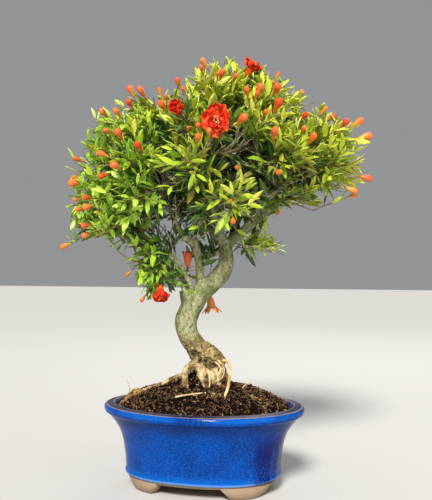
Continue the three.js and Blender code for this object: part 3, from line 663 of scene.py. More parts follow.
def glaze_paint():
    paint = Paint("cobalt_glaze", Coat_Roughness=0.12, IOR=1.45, Specular_IOR_Level=0.02)
    at = paint.place(TREE_TURN)
    right, back, height = (paint.part(at, axis) for axis in "XYZ")
    mottle = paint.noise(at, 760, 2.0)
    cloud = paint.noise(at, 24, 2.0)
    blue = paint.mix(paint.ease(cloud, 0.35, 0.65), COBALT_DEEP, COBALT)
    blue = paint.mix(paint.ease(mottle, 0.5, 0.68) * 0.6, blue, COBALT_PALE)
    blue = paint.mix(paint.ease(mottle, 0.46, 0.34) * 0.5, blue, COBALT_DARK)
    # painted shade: the upper wall under the lip's overhang is painted darker
    under_lip_shade = paint.ease(height, 0.07, 0.084) * paint.ease(height, 0.0885, 0.0865)
    blue = paint.mix(under_lip_shade * 0.45, blue, COBALT_DARK)
    low_band = paint.ease(height + cloud * 0.01, 0.033, 0.021)
    blue = paint.mix(low_band * 0.6, blue, COBALT_PALE)
    # painted highlight: a pale line along the glaze's foot roll
    blue = paint.mix(paint.ease(height, 0.0186, 0.0166) * 0.5, blue, PAINTED_ROLL_HIGHLIGHT)
    streak = paint.noise(paint.place(TREE_TURN, (1, 1, 0.1)), 120, 2.0)
    run = paint.ease(right, 0.05, 0.068) * paint.ease(right, 0.104, 0.092) * paint.ease(back, 0.01, -0.01)
    run = run * paint.ease(height, 0.09, 0.05) * paint.ease(streak, 0.3, 0.5)
    run = run * (1 - paint.ease(mottle, 0.5, 0.66) * paint.ease(height, 0.05, 0.026))
    blue = paint.mix(run * 0.9, blue, NAVY)
    # painted highlight: paler blotches round the lip's outer face, where it faces the lamp
    lip = paint.ease(height, 0.0905, 0.0925) * paint.ease(cloud, 0.3, 0.6)
    blue = paint.mix(lip * 0.5, blue, COBALT_PALE)
    rim_top = paint.ease(height, 0.0966, 0.0974)
    rim_cloud = paint.mix(paint.ease(cloud, 0.4, 0.6), *RIM)
    blue = paint.mix(rim_top * 0.9, blue, rim_cloud)
    bare = paint.attribute("bare")
    worn = paint.ease(bare + (paint.noise(at, 140) - 0.5) * 0.6, 0.35, 0.8)
    clay = paint.mix(paint.noise(at, 240, 4.0), *CLAY)
    edge = paint.mix(paint.ease(height, 0.05, 0.09), clay, BREAK)
    paint.wear(Base_Color=paint.mix(worn, blue, edge))
    paint.wear(Roughness=worn * 0.5 + 0.2 + mottle * 0.1)
    paint.wear(Coat_Weight=(1 - worn) * 0.28)
    paint.wear(Normal=paint.bump(mottle * 0.3 + cloud * 0.7, 0.25))
    return paint


glaze = glaze_paint()
print("the glaze has", len(glaze.tree.nodes), "nodes")

# %% [markdown]
# ## Bare clay
# The feet were wiped clean before the firing, so they are a dull tan with iron specks. A flat tan
# would look like plastic; a grain in colour, roughness and relief together looks like fired clay.


# %% The clay, and the finished pot
def clay_paint():
    paint = Paint("bare_clay", IOR=1.45)
    at = paint.place()
    grain = paint.noise(at, 380, 4.0, 0.6)
    cloud = paint.noise(at, 40, 2.0)
    colour = paint.mix(grain * 0.6 + cloud * 0.4, *CLAY)
    speck = paint.ease(paint.cells(at, 420), 0.16, 0.06)
    paint.wear(Base_Color=paint.mix(speck * 0.4, colour, IRON))
    paint.wear(Roughness=0.75 + grain * 0.2, Normal=paint.bump(grain, 0.2))
    return paint


pot = finish("pot_body", body_mesh, glaze, ["pot"], IN_POT)
feet = finish("pot_feet", feet_mesh, clay_paint(), ["pot"], IN_POT)
report(pot, feet)

# %% [markdown]
# ## The soil
# Bonsai soil is crumbs of bark and baked clay, heaped round the trunk. The heap is one turned
# form, and thousands of crumbs lie on it: three stones of twenty faces, each turned, stretched
# and tinted at random. Fine reddish fibres and some gold moss lie among them.

# %% Sizes of the heap
SOIL = {"edge": 92.5, "crown": 121.0, "fullness": 3.2, "reach": 109.2, "floor": 20.4}
SOIL_WALL = [(SOIL["floor"], 87.6), (68.0, 96.1), (SOIL["edge"], SOIL["reach"])]  # height, radius
MOUND = {"rings": 30, "steps": 120, "relief": 1.6, "lump": 7, "sink": 0.6, "rim": 0.5}
UNDER_ROOTS = {"x": -9, "y": 1, "height": 13, "spread": 20}


def soil_height(x, y):
    """The heap, with a smaller one pushed in under the roots."""
    share = min(1.0, math.hypot(x, y / POT["ratio"]) / SOIL["reach"])
    nearness = math.hypot(x - UNDER_ROOTS["x"], y - UNDER_ROOTS["y"]) / UNDER_ROOTS["spread"]
    under = UNDER_ROOTS["height"] * math.exp(-nearness**2)
    return SOIL["edge"] + (SOIL["crown"] - SOIL["edge"]) * (1 - share ** SOIL["fullness"]) + under


def soil_mound():
    bm = bmesh.new()
    outline = [(0.0, SOIL["floor"])] + [(r, z) for z, r in SOIL_WALL]
    radii = [SOIL["reach"] * k / MOUND["rings"] for k in range(MOUND["rings"] - 1, 0, -1)]
    outline += [(r, soil_height(r, 0)) for r in radii]
    spun(bm, [*outline, (0.0, SOIL["crown"])], MOUND["steps"])
    to_oval(bm)
    for vert in bm.verts:
        if vert.co.z > SOIL["edge"] + MOUND["rim"]:
            lumps = noise.fractal(vert.co / MOUND["lump"], 0.8, 2.0, 3)
            vert.co.z += MOUND["relief"] * lumps - MOUND["sink"]
    return settle(bm, "soil_mound")


mound_mesh = soil_mound()
print("the heap has", len(mound_mesh.polygons), "faces")

# %% [markdown]
# ## Scattering
# Crumbs, leaves, buds and petals are all the same job: a few small shapes, copied thousands of
# times with their own place, turn, size and tint. Instances would be lighter, but the exported
# model drops them, so the copies are joined into one mesh. Each copy's tint is a colour attribute.

# %% Joining copies
def copies(name, scatter):
    """Joins copies of small templates. scatter gives (template, matrix, colour) for each."""
    bm = bmesh.new()
    for original, matrix, colour in scatter:
        copy = original.copy()
        copy.attributes["tint"].data.foreach_set("color", colour * len(copy.vertices))
        copy.transform(matrix)
        bm.from_mesh(copy)
        bpy.data.meshes.remove(copy)
    mesh = bpy.data.meshes.new(name)
    bm.to_mesh(mesh)
    bm.free()
    return mesh


def joined(name, meshes):
    """One mesh from several."""
    bm = bmesh.new()
    for mesh in meshes:
        bm.from_mesh(mesh)
    whole = bpy.data.meshes.new(name)
    bm.to_mesh(whole)
    bm.free()
    return whole


def in_batches(name, scatter, size=250):
    """Joins many copies in small batches, which is much faster than one by one."""
    parts = [copies(name, scatter[i : i + size]) for i in range(0, len(scatter), size)]
    return joined(name, parts)


def stone(seed):
    """A knobbly crumb of twenty faces."""
    bm = bmesh.new()
    bmesh.ops.create_icosphere(bm, subdivisions=1, radius=1)
    rng = random.Random(seed)
    for vert in bm.verts:
        vert.co *= rng.uniform(0.7, 1.2)
    return template(bm, "stone")


def any_way(rng):
    return Vector([rng.uniform(-1, 1) for _ in range(3)])


def any_turn(rng):
    axis = any_way(rng).normalized()
    return Matrix.Rotation(rng.uniform(0, math.tau), 4, axis)


STONES = [stone(seed) for seed in range(3)]
print(len(STONES), "stones of", len(STONES[0].polygons), "faces")

# %% [markdown]
# ## Crumbs on the heap
# Each crumb is a stone, stretched, turned and tinted at random, and laid on the heap. A physics
# run could pour them, but it takes minutes and moves nothing that shows. Only round the loose
# stick is some room kept, so that it lies on the soil and not in it.

# %% The crumbs
STICK = [(-32, -53), (-14.6, -47.2), (3.2, -41.5)]  # in the tree's frame
STICK_ROOM = 3.2
CRUMB = {"long": (1, 2.5), "wide": (0.7, 1), "high": (0.4, 0.8)}
FINE = (0.8, 1.4)
COARSE = (1.4, 2.0)
FINE_SHARE = 0.8
CRUMBS = 7600


def in_pot(x, y):
    """A flat place of the tree's frame in the pot's frame."""
    turned = Matrix.Rotation(TREE_TURN, 3, "Z") @ Vector((x, y, 0))
    return turned.x, turned.y


def off_stick(x, y):
    """How far a flat place of the pot's frame is from the loose stick."""
    place = Vector((x, y))
    ends = [Vector(in_pot(*spot)) for spot in STICK]
    gaps = []
    for start, end in zip(ends, ends[1:]):
        share = (place - start).dot(end - start) / (end - start).length_squared
        gaps.append((start.lerp(end, min(1, max(0, share))) - place).length)
    return min(gaps)


def on_heap(x, y):
    """How far out on the oval heap a place is, in millimetres along the pot."""
    return math.hypot(x, y / POT["ratio"])


def any_spot(rng, reach):
    """A random place on the heap, as far out as reach."""
    out = reach * math.sqrt(rng.random())
    angle = rng.uniform(0, math.tau)
    return out * math.cos(angle), out * math.sin(angle) * POT["ratio"]


def crumb_at(rng, x, y, size, rise):
    """A stone of some size at a place, lifted off the heap by a rise."""
    stretch = [size * rng.uniform(*CRUMB[side]) for side in ("long", "wide", "high")]
    at = Vector((x, y, soil_height(x, y) + rise))
    colour = (rng.random(), rng.random(), rng.random(), 1.0)
    original = rng.choice(STONES)
    return (original, Matrix.Translation(at) @ any_turn(rng) @ Matrix.Diagonal((*stretch, 1)), colour)


def soil_crumbs(count, seed):
    rng = random.Random(seed)
    scatter = []
    for _ in range(count):
        x, y = any_spot(rng, SOIL["reach"] - 1.5)
        size = rng.uniform(*(FINE if rng.random() < FINE_SHARE else COARSE))
        if off_stick(x, y) > STICK_ROOM:
            scatter.append(crumb_at(rng, x, y, size, rng.uniform(-0.4, 0.9)))
    return in_batches("soil_crumbs", scatter)


crumbs_mesh = soil_crumbs(CRUMBS, 11)
print("the crumbs have", len(crumbs_mesh.polygons), "faces")

# %% [markdown]
# ## Moss and fibres
# Gold moss sits in patches at the pot's edge, and dry fibres lie about on the soil. Hair could make
# both, but it isn't exported. Small stones heaped in the middle of each patch give the moss its
# cushion, and short bent rods with four sides are enough for fibres.

# %% Moss and fibres on the heap
MOSS = [  # place, width and depth, how many crumbs, how high they are heaped
    (-86, 3, 16, 8, 560, 7), (-64, 0, 12, 6, 90, 2), (12, -50, 12, 6, 60, 1),
    (62, -44, 18, 9, 70, 1), (40, 48, 22, 10, 160, 1),
]
MOSS_SPREAD = 0.45
MOSS_CRUMB = (0.5, 1.1)
MOSS_RIM = 2
FIBRE = {"count": 200, "reach": 0.93, "length": (5, 15), "radii": (0.36, 0.2), "steps": 5}


def moss_tufts(seed):
    """Patches of tiny crumbs, heaped highest in the middle."""
    rng = random.Random(seed)
    scatter = []
    for x, y, wide, deep, count, high in MOSS:
        for _ in range(count):
            aside, behind = rng.gauss(0, MOSS_SPREAD), rng.gauss(0, MOSS_SPREAD)
            at = in_pot(x + wide * aside, y + deep * behind)
            rise = 0.4 + rng.random() * high * math.exp(-2 * math.hypot(aside, behind) ** 2)
            if on_heap(*at) < SOIL["reach"] - MOSS_RIM:
                scatter.append(crumb_at(rng, *at, rng.uniform(*MOSS_CRUMB), rise))
    return in_batches("moss", scatter)


def soil_fibres(count, seed):
    """Thin bark fibres that lie on the crumbs, in bows."""
    rng = random.Random(seed)
    routes = []
    for _ in range(count):
        x, y = any_spot(rng, SOIL["reach"] * FIBRE["reach"])
        turn = rng.uniform(0, math.tau)
        half = Vector((math.cos(turn), math.sin(turn), 0)) * rng.uniform(*FIBRE["length"]) / 2
        ends = [Vector((x, y, 0)) - half, Vector((x, y, 0)) + half]
        for end in ends:
            end.z = soil_height(end.x, end.y) + rng.uniform(0.2, 1.6)
        inside_pot = all(on_heap(end.x, end.y) < SOIL["reach"] for end in ends)
        if inside_pot and off_stick(x, y) > STICK_ROOM:
            bulge = Vector((rng.gauss(0, 2), rng.gauss(0, 2), rng.uniform(1, 3)))
            pull = ends[0].lerp(ends[1], 0.5) + bulge
            routes.append(bow(ends[0], pull, ends[1], FIBRE["radii"], FIBRE["steps"]))
    return rods("soil_fibres", routes)


moss_mesh = moss_tufts(12)
fibres_mesh = soil_fibres(FIBRE["count"], 13)
print("moss and fibres have", len(moss_mesh.polygons), "and", len(fibres_mesh.polygons), "faces")

# %% [markdown]
# ## Soil colours
# Moist bark crumbs run from nearly black to brown, with a few tan chips of wood. One paint for
# each would need as many pieces. The tint of each crumb settles which it is instead, so no two
# neighbours are alike, and a fine grain breaks up each crumb.

# %% Soil paints
CRUMB_DARK = srgb(4, 2, 1), srgb(26, 15, 8)
CRUMB_BROWN = srgb(26, 15, 8), srgb(132, 100, 72)
WOOD_CHIP = srgb(186, 156, 116)


def soil_paint():
    paint = Paint("dark_soil", IOR=1.4, Specular_IOR_Level=0.1)
    at = paint.place()
    luck = paint.attribute("tint", "Color")
    red, green = paint.part(luck, "X"), paint.part(luck, "Y")
    grain = paint.noise(at, 700, 4.0, 0.7)
    dark = paint.mix(grain, *CRUMB_DARK)
    brown = paint.mix(grain, *CRUMB_BROWN)
    colour = paint.mix(paint.ease(red, 0.4, 0.95), dark, brown)
    colour = paint.mix(paint.ease(green, 0.9, 0.97) * 0.6, colour, WOOD_CHIP)
    paint.wear(Base_Color=colour, Roughness=0.7 + grain * 0.25, Normal=paint.bump(grain, 0.5))
    return paint


def mixed_paint(name, low, high, scale):
    """A dull stuff of two colours, for moss, fibres, roots and dead wood."""
    paint = Paint(name, IOR=1.4, Specular_IOR_Level=0.2)
    at = paint.place()
    cloud = paint.noise(at, scale, 3.0, 0.6)
    grain = paint.noise(at, 800, 3.0)
    colour = paint.mix(paint.ease(cloud, 0.35, 0.65), low, high)
    paint.wear(Base_Color=paint.mix(paint.ease(grain, 0.5, 0.4) * 0.4, colour, low))
    paint.wear(Roughness=0.7 + grain * 0.2, Normal=paint.bump(grain, 0.3))
    return paint


earth = soil_paint()
gold_moss = mixed_paint("gold_moss", srgb(112, 84, 44), srgb(208, 172, 104), 160)
red_fibre = mixed_paint("red_fibre", srgb(58, 34, 22), srgb(158, 114, 78), 45)
mound = finish("soil_mound", mound_mesh, earth, ["soil"], IN_POT)
crumbs = finish("soil_crumbs", crumbs_mesh, earth, (), IN_POT)
moss = finish("moss", moss_mesh, gold_moss, (), IN_POT)
fibres = finish("soil_fibres", fibres_mesh, red_fibre, (), IN_POT)
report(mound, crumbs, moss, fibres)


# %% [markdown]
# ## A loose stick
# One bleached twig lies on the soil in front of the roots. It bends a little in the middle, so it
# is a rod through three points, thinner at one end. A straight cylinder would look machined.

# %% The loose stick
STICK_RADII = (1.15, 1.05, 0.85)
STICK_CLEAR = 1.6  # how much of the plain stick's height is its own thickness and not its slope


def stick_route():
    """The stick, as high above the soil and as steep as the plain one."""
    low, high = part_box("stick")
    middle = ((low.z + high.z) / 2 - POT_FOOT.z) / MM
    rise = (high.z - low.z) / MM / 2 - STICK_CLEAR
    heights = (middle - 0.4 * rise, middle + 0.5, middle + 0.4 * rise)
    return through([(*spot, z, r) for spot, z, r in zip(STICK, heights, STICK_RADII)], 6)


dead = mixed_paint("dead_stick", srgb(186, 150, 100), srgb(238, 214, 166), 90)
stick = finish("dead_stick", rods("dead_stick", [stick_route()], 2), dead, ["stick"])
report(stick)

# %% [markdown]
# ## The wood
# Trunk, roots and limbs grew as one, and where they meet the wood swells over the joint. So they
# are drawn as rods that run into each other, and one skin is laid over them all: a voxel remesh,
# smoothed a little, then roughened with knobs and fine wrinkles along its normals.

# %% Trunk and roots, each point with its radius
TRUNK = [
    (10, 1, 66, 11), (9, 1, 104, 15.5), (7, 0, 134, 17), (1, -1, 154, 15.4), (-9, -3, 168, 13.2),
    (-18.2, -3, 182, 12.9), (-21.3, -2, 197, 13.4), (-18.2, 0, 208, 13.6), (-12, 2, 219.5, 13.4),
    (-4, 3, 231, 12.6), (9.9, 3, 243.5, 11.6), (23.6, 2, 257.5, 10.6), (28.5, 1, 273, 9.5),
    (27.7, 0, 286, 8.8), (26, 0, 299, 7.6),
]
ROOTS = [
    [(-10, -14, 149.5, 4.2), (-15, -19, 146.5, 4.2), (-20.5, -21.5, 141, 4.2), (-22, -22, 132, 3.9),
     (-20.5, -22, 121, 3.3), (-19.5, -21, 104, 2.4)],
    [(-10, -14, 149.5, 4.2), (-7.5, -20, 147, 4.7), (-3.5, -23.5, 142, 5.1), (-1, -25, 134.5, 5.0),
     (1.5, -25, 127, 4.2), (3, -24, 112, 3)],
    [(-20, -18, 137, 3.3), (-34, -15, 131.5, 2.9), (-51, -12, 123.2, 2.3), (-66, -4, 116.5, 1.8),
     (-80, 6, 108.5, 1.3)],
    [(1, -4, 171, 5), (8.5, -6, 163.5, 7.4), (17, -8, 155.5, 7.8), (21.5, -9, 148.5, 6.6),
     (20, -11, 139, 6), (18, -14, 127, 6.4), (18, -13, 108, 5.4)],
    [(9.5, -17, 139, 4.2), (12, -19, 131, 4.6), (13, -19, 114, 4)],
    [(8, 10, 150, 9), (15, 24, 137, 7.6), (21, 36, 121, 6), (26, 46, 102, 4)],
    [(-4, 10, 150, 8), (-14, 26, 136, 6.4), (-24, 38, 119, 5), (-32, 46, 102, 3.4)],
    [(14, 3, 148, 9), (22, 10, 135, 7), (28, 19, 119, 5.4), (32, 27, 102, 4)],
]
PALE_ROOTS = [
    [(20, -10, 151, 2.4), (26, -15, 151.5, 2.0), (31, -22, 149.5, 1.8), (32.2, -30, 143, 1.7),
     (31.6, -37, 138, 1.7), (29, -46, 124, 1.8), (25.5, -52, 115, 1.6), (24, -56, 104, 1.4)],
    [(18, -15, 152, 1.3), (24, -19, 146, 0.9), (25.5, -21, 139, 0.8), (23, -21, 132, 0.7),
     (19, -20, 128, 0.6)],
    [(15, -17, 150, 1.0), (20, -20, 145, 0.7), (21, -21, 138, 0.6), (18, -21, 133, 0.5)],
    [(7, -22, 139, 1.5), (7.8, -25, 132, 1.1), (8, -27, 126, 0.9), (6, -29, 112, 0.8)],
    [(45, -20, 112, 0.9), (49, -20, 121, 0.7), (56, -21, 126, 0.5), (58, -22, 130, 0.3)],
    [(-92, 6, 106, 0.8), (-91, 6, 116, 0.6), (-94, 6, 125, 0.3)],
]
# the hollows are pressed in and painted dark, with lichen and with painted shade
HOLLOWS = [  # dark places in the foot, each with its reach
    (6, -17, 150, 7.5), (14, -17, 146, 5.5), (28, -10, 142, 7), (25, -15, 128, 8), (-11, -14, 134, 7.5),
    (-15, 4, 128, 14), (-10, -14, 161, 5.5), (-5, -15, 159, 4), (4.5, -20, 143, 3.2), (5.5, -21, 136, 3.2),
    (7, -21, 128, 3.4), (-3, -16, 151, 3),
]
KNOB = Vector((-9.4, -3, 292))
CUT = Vector((-24.6, -1.5, 238.6))  # the stub's sawn end
STUB = [(-20, 0, 221, 7.4), (-22.3, -1, 229, 6.2), (-24, -1, 236, 5.2)]
print(len(ROOTS), "thick roots and", len(PALE_ROOTS), "thin ones")

# %% [markdown]
# ## Limbs
# Over the fork the trunk ends in a leader and a long limb to the right, and from those the others
# leave, each one thinner than what it leaves. They could be grown by a rule, but the limbs are what
# one knows this tree by, so each one is listed point by point.

# %% The limbs, each point with its radius
LIMBS = {
    "leader": [
        (26, 0, 292, 7.2), (19, -1, 308, 5.8), (14, -4, 325, 5.2), (3, -8, 347, 4.6),
        (-8, -10, 372, 4), (-15, -8, 398, 3.4), (-16, -4, 424, 2.6), (-8, 0, 452, 1.7),
    ],
    "right": [
        (26, 0, 291, 7.6), (38, 2, 299, 6.4), (58.5, 4, 317, 5.6), (75, 5, 332, 5.2),
        (96, 4, 350, 4.6), (126, 2, 362, 3.2), (154, 0, 372, 1.8),
    ],
    "right_up": [
        (82, 4, 338, 4.6), (78, -2, 366, 3.8), (72, -8, 392, 3.2), (68, -8, 420, 2.6), (62, -4, 448, 1.7),
    ],
    "stem": [
        (-4, 4, 238, 6), (-4, 0, 258, 4.8), (-6, -2, 275, 4.6), (-9.4, -3, 290, 5.8), (-10, -3, 298, 5.2),
    ],
    "inner": [
        (-10, -4, 292, 4), (-23, -8, 300, 3.2), (-31, -10, 313, 3), (-38, -12, 328, 2.9),
        (-46, -14, 352, 2.7), (-48, -14, 376, 2.5), (-50, -12, 405, 2.1), (-50, -8, 432, 1.6),
    ],
    "low_left": [
        (-12, 0, 226, 4.4), (-14.5, -3, 240, 3.2), (-22.5, -5, 257, 3.1), (-31, -8, 271, 3.1),
        (-50, -12, 283, 2.9), (-76, -16, 292, 2.4), (-104, -18, 304, 1.7),
    ],
    "back_right": [
        (27, 3, 280, 6), (35, 20, 299, 4.8), (44, 42, 322, 4.2), (57, 62, 350, 3.4),
        (66, 76, 385, 2.6), (60, 74, 418, 1.7),
    ],
    "back_left": [
        (24, 2, 294, 5.4), (9, 18, 313, 4.4), (-12, 38, 332, 3.8), (-38, 54, 352, 3.2),
        (-56, 62, 380, 2.5), (-54, 60, 412, 1.7),
    ],
    "back_low": [
        (-12, 6, 231, 5), (-26, 19, 250, 3.8), (-44, 33, 272, 3.2), (-70, 44, 296, 2.5), (-94, 48, 316, 1.7),
    ],
    "front": [
        (11, -5, 330, 4), (9, -24, 348, 3.3), (7, -42, 368, 2.8), (10, -58, 395, 2.3), (14, -60, 422, 1.6),
    ],
    "front_right": [
        (62, 4, 320, 4.4), (68, -18, 337, 3.4), (80, -38, 349, 2.9), (94, -54, 362, 2.4),
        (104, -60, 382, 1.7),
    ],
    "front_left": [
        (-40, -13, 334, 3), (-52, -32, 348, 2.6), (-66, -47, 358, 2.2), (-77, -55, 368, 1.6),
    ],
    "far_right": [(98, 4, 353, 4.2), (108, 24, 360, 3.2), (120, 44, 370, 2.5), (128, 56, 386, 1.7)],
}
print(len(LIMBS), "limbs")

# %% [markdown]
# ## Where the shoots stand
# The crown is a dome of shoots in rings, with a few strays that hang out of it. A repeatable
# draw keeps each ring uneven. Each shoot, and each bloom, stands on a thin branch of its own
# that leaves the nearest limb.

# %% The plan of the crown
CROWN = [  # rings of shoots: middle, half widths, how many, turned and rising by how much
    {"z": 506, "x": 32, "rx": 42, "ry": 36, "count": 3, "turn": 0.25, "rise": 70},
    {"z": 478, "x": 16, "rx": 108, "ry": 84, "count": 7, "turn": 0.1, "rise": 45},
    {"z": 436, "x": 24, "rx": 160, "ry": 120, "count": 9, "turn": 0.35, "rise": 22},
    {"z": 386, "x": 25, "rx": 182, "ry": 136, "count": 9, "turn": 0.45, "rise": 3},
    {"z": 334, "x": -14, "rx": 150, "ry": 112, "count": 7, "turn": 0.7, "rise": -12},
]
UNEVEN = {"turn": 0.3, "rise": 14, "height": 12}
STRAYS = [  # tip, and the way it points: degrees round and up
    (-126, -54, 300, 212, -20), (-120, 42, 290, 160, -24), (-170, 2, 288, 184, -28),
    (-84, -30, 262, 205, -38), (-70, 8, 228, 170, -62), (102, 24, 280, 14, -18),
]
SPRAY = {"length": 74, "stray": 54, "sag": 5}
BLOOM_DEPTH = 20  # from a bloom's middle back to the foot of its urn
BLOOMS = [
    {"name": "front", "at": (15, -126, 424), "faces": (0.05, -1, 0.05), "petals": 0.8, "stretch": 1.3},
    {"name": "upper", "at": (-30, -108, 443), "faces": (-0.25, -0.9, 0.35), "petals": 0.6},
    {"name": "top", "at": (62, -22, 512), "faces": (0.5, -0.2, 0.84), "petals": 0.7},
    {"name": "low", "at": (-50, -34, 227), "faces": (0.1, -0.42, -0.9), "petals": 0.7, "stretch": 1.15},
    {"name": "back_left", "at": (-72, 106, 446), "faces": (-0.5, 0.8, 0.33), "petals": 1.0},
    {"name": "back_right", "at": (104, 116, 424), "faces": (0.45, 0.87, 0.2), "petals": 0.9},
    {"name": "tube", "at": (-19, 16, 284), "faces": (0.02, -0.06, 1), "petals": 0},
    {"name": "star", "at": (11, 30, 208), "faces": (0.1, -0.1, -1), "petals": 0},
]


def chance(i, j):
    """A number from 0 to 1 that belongs to the pair (i, j)."""
    wave = math.sin(i * 12.9898 + j * 78.233) * 43758.5453
    return wave - math.floor(wave)


def crown_plan():
    plan = []
    for ring in CROWN:
        for k in range(ring["count"]):
            n = len(plan)
            uneven = UNEVEN["turn"] * (chance(n, 1) - 0.5)
            angle = math.tau * (k + ring["turn"] + uneven) / ring["count"]
            rise = math.radians(ring["rise"] + UNEVEN["rise"] * (chance(n, 2) - 0.5))
            out = Vector((ring["rx"] * math.cos(angle), ring["ry"] * math.sin(angle), 0))
            height = ring["z"] + UNEVEN["height"] * (chance(n, 3) - 0.5)
            tip = Vector((ring["x"], 0, height)) + out
            plan.append((tip, bearing(math.atan2(out.y, out.x), rise), SPRAY["length"]))
    for x, y, z, toward, rise in STRAYS:
        way = bearing(math.radians(toward), math.radians(rise))
        plan.append((Vector((x, y, z)), way, SPRAY["stray"]))
    return plan


SHOOTS = []
for tip, way, length in crown_plan():
    base = tip - way * length
    pull = base.lerp(tip, 0.5) + UP * SPRAY["sag"]
    SHOOTS.append({"base": base, "way": way, "tip": tip, "pull": pull, "length": length})
for bloom in BLOOMS:
    bloom["way"] = Vector(bloom["faces"]).normalized()
    bloom["foot"] = Vector(bloom["at"]) - bloom["way"] * BLOOM_DEPTH
print(len(SHOOTS), "shoots and", len(BLOOMS), "blooms")

# %% [markdown]
# ## Branches
# Each spray and each bloom hangs on a branch that leaves the nearest limb and bows upwards. The
# branches could be drawn one by one, but there are dozens, so each is worked out from its limb and
# from the point that it has to reach, as in the plain model.

# %% The branches that carry them
CARRIER = {"samples": 12, "first": 4, "rise": 8, "flat_cost": 0.8, "back_cost": 1.6}
BRANCH = {"pull": 0.45, "radii": (2.0, 1.4), "steps": 8}
LIMB_STEPS = 6
LIMB_ROUTES = {name: through(rows, LIMB_STEPS) for name, rows in LIMBS.items()}


def carrier_of(base, way):
    """The point on a limb that a branch to base leaves from."""
    best = (math.inf, None)
    for route in LIMB_ROUTES.values():
        for k in range(CARRIER["first"], CARRIER["samples"] + 1):
            place = route[round(k / CARRIER["samples"] * (len(route) - 1))][0]
            reach = base - place
            flat = max(0.0, CARRIER["rise"] - reach.z)
            back = max(0.0, -reach.dot(way))
            cost = reach.length + CARRIER["flat_cost"] * flat + CARRIER["back_cost"] * back
            best = min(best, (cost, place), key=lambda pair: pair[0])
    return best[1]


def branch(base, way):
    """A branch from a limb to a base, which it reaches along a way."""
    start = carrier_of(base, way)
    pull = base - way * BRANCH["pull"] * (base - start).length
    return bow(start, pull, base, BRANCH["radii"], BRANCH["steps"])


BRANCHES = [branch(shoot["base"], shoot["way"]) for shoot in SHOOTS]
BRANCHES += [branch(bloom["foot"], bloom["way"]) for bloom in BLOOMS]
print(len(BRANCHES), "branches")


# %% [markdown]
# ## The outline of the crown
# A grown crown is trimmed to a shape. Seen from the front it is a lopsided dome that hangs lower
# at the left, and from the side it is a rounder one. `crown_share` says how far out a point lies:
# 0 at the heart, 1 on the surface. Leaves stop there, and the buds stand on it.

# %% How far out a point lies
HEART = Vector((20, 0, 372))
OUTLINE = [  # from the heart to the right and up, as the front shows it
    (-186, -84), (-178, 28), (-147, 89), (-110, 109), (-83, 99), (-67, 106), (-55, 120), (-24, 146),
    (38, 148), (75, 130), (130, 92), (183, 55), (192, 2), (167, -20), (130, -31), (103, -34),
    (76, -40), (62, -49), (73, -66), (85, -82), (60, -99), (38, -108), (10, -116), (-40, -140),
    (-92, -148), (-110, -113), (-141, -74),
]
DEPTH = 142  # from the heart to the front and to the back
LIGHT = 0.3  # how much shoots in the upper half turn up to the light
ROUND_TRIP = sorted((math.atan2(up, right), math.hypot(right, up)) for right, up in OUTLINE)
ROUND_TRIP = [(ROUND_TRIP[-1][0] - math.tau, ROUND_TRIP[-1][1]), *ROUND_TRIP,
              (ROUND_TRIP[0][0] + math.tau, ROUND_TRIP[0][1])]


def reach_towards(angle):
    """How far the outline is from the heart in a direction."""
    for (low, near), (high, far) in zip(ROUND_TRIP, ROUND_TRIP[1:]):
        if low <= angle <= high:
            return near + (far - near) * (angle - low) / (high - low)
    return ROUND_TRIP[0][1]


def crown_share(point):
    """How far out a point lies: 0 at the heart, 1 on the surface."""
    out = point - HEART
    flat = math.hypot(out.x, out.z) / reach_towards(math.atan2(out.z, out.x))
    return math.hypot(flat, out.y / DEPTH)


def outward(point):
    """The way out of the crown at a point, turned up a little to the light in its upper half."""
    out = point - HEART
    reach = reach_towards(math.atan2(out.z, out.x))
    way = Vector((out.x / reach**2, out.y / DEPTH**2, out.z / reach**2)).normalized()
    return (way + LIGHT * UP).normalized() if out.z > 0 else way


shares = [crown_share(bloom["foot"]) for bloom in BLOOMS]
print("the blooms' feet lie at", [round(share, 2) for share in shares], "of the way out")

# %% [markdown]
# ## Where the buds are
# On the near side each bud has its place; it is given as it is seen, and lies where a line of
# sight through that place first meets the crown. On the far side the buds end the shoots, by the
# same draw as in the plain model.

# %% Lines of sight and the ends of shoots
# The camera's axis, its horizon and its focal length, in points of a picture 432 wide, 500 high.
VIEW = {"axis": 203.1, "horizon": 257.9, "focal": 776}
BUDS_SEEN = [  # column and row in that picture and, where it is unusual, size
    (101, 110, 1.15), (115, 110, 1.15), (130, 89), (141, 91), (128.6, 102.5, 0.8), (105, 130, 0.9),
    (118, 132.5), (100.6, 153.5), (74, 158, 1.15), (115, 165.6), (73, 176.5, 0.85), (101, 176),
    (74.4, 183, 1.1), (83.4, 197, 1.15), (75, 200, 0.6), (77, 209.6, 1.1), (86.6, 207),
    (85.3, 225.5, 0.8), (84.6, 235.5), (63, 247), (128, 274, 0.6), (142.7, 299, 0.6), (137, 144.6, 1.2),
    (165, 95, 0.8), (177, 79.5), (183, 88, 0.7), (162, 105, 0.9), (203, 61), (201, 67, 0.7),
    (217, 72, 0.7), (222, 72), (236, 74.4, 0.8), (198, 125, 0.8), (188, 126.7, 0.6), (198, 137),
    (209, 129), (260, 88), (278.4, 73, 0.8), (274, 81, 0.7), (278, 87), (247, 89.7, 0.9),
    (257, 93.6, 0.7), (278.4, 103, 1.15), (266, 111.4, 0.7), (242.7, 118.4, 1.2), (274.6, 132, 1.1),
    (307, 113), (304, 128, 0.8), (313, 137, 1.15), (326, 107.6, 0.9), (346.7, 121), (359, 121.6),
    (368.4, 135.7, 1.3), (369.6, 178.4, 1.3), (353.7, 190), (355.6, 195), (278, 172, 0.9),
    (237, 167.6, 0.6), (231, 200.7, 0.5), (233, 221, 0.8),
]
SIGHT = range(-160, 40, 2)  # depths, from the front to behind the trunk, tried on a line of sight
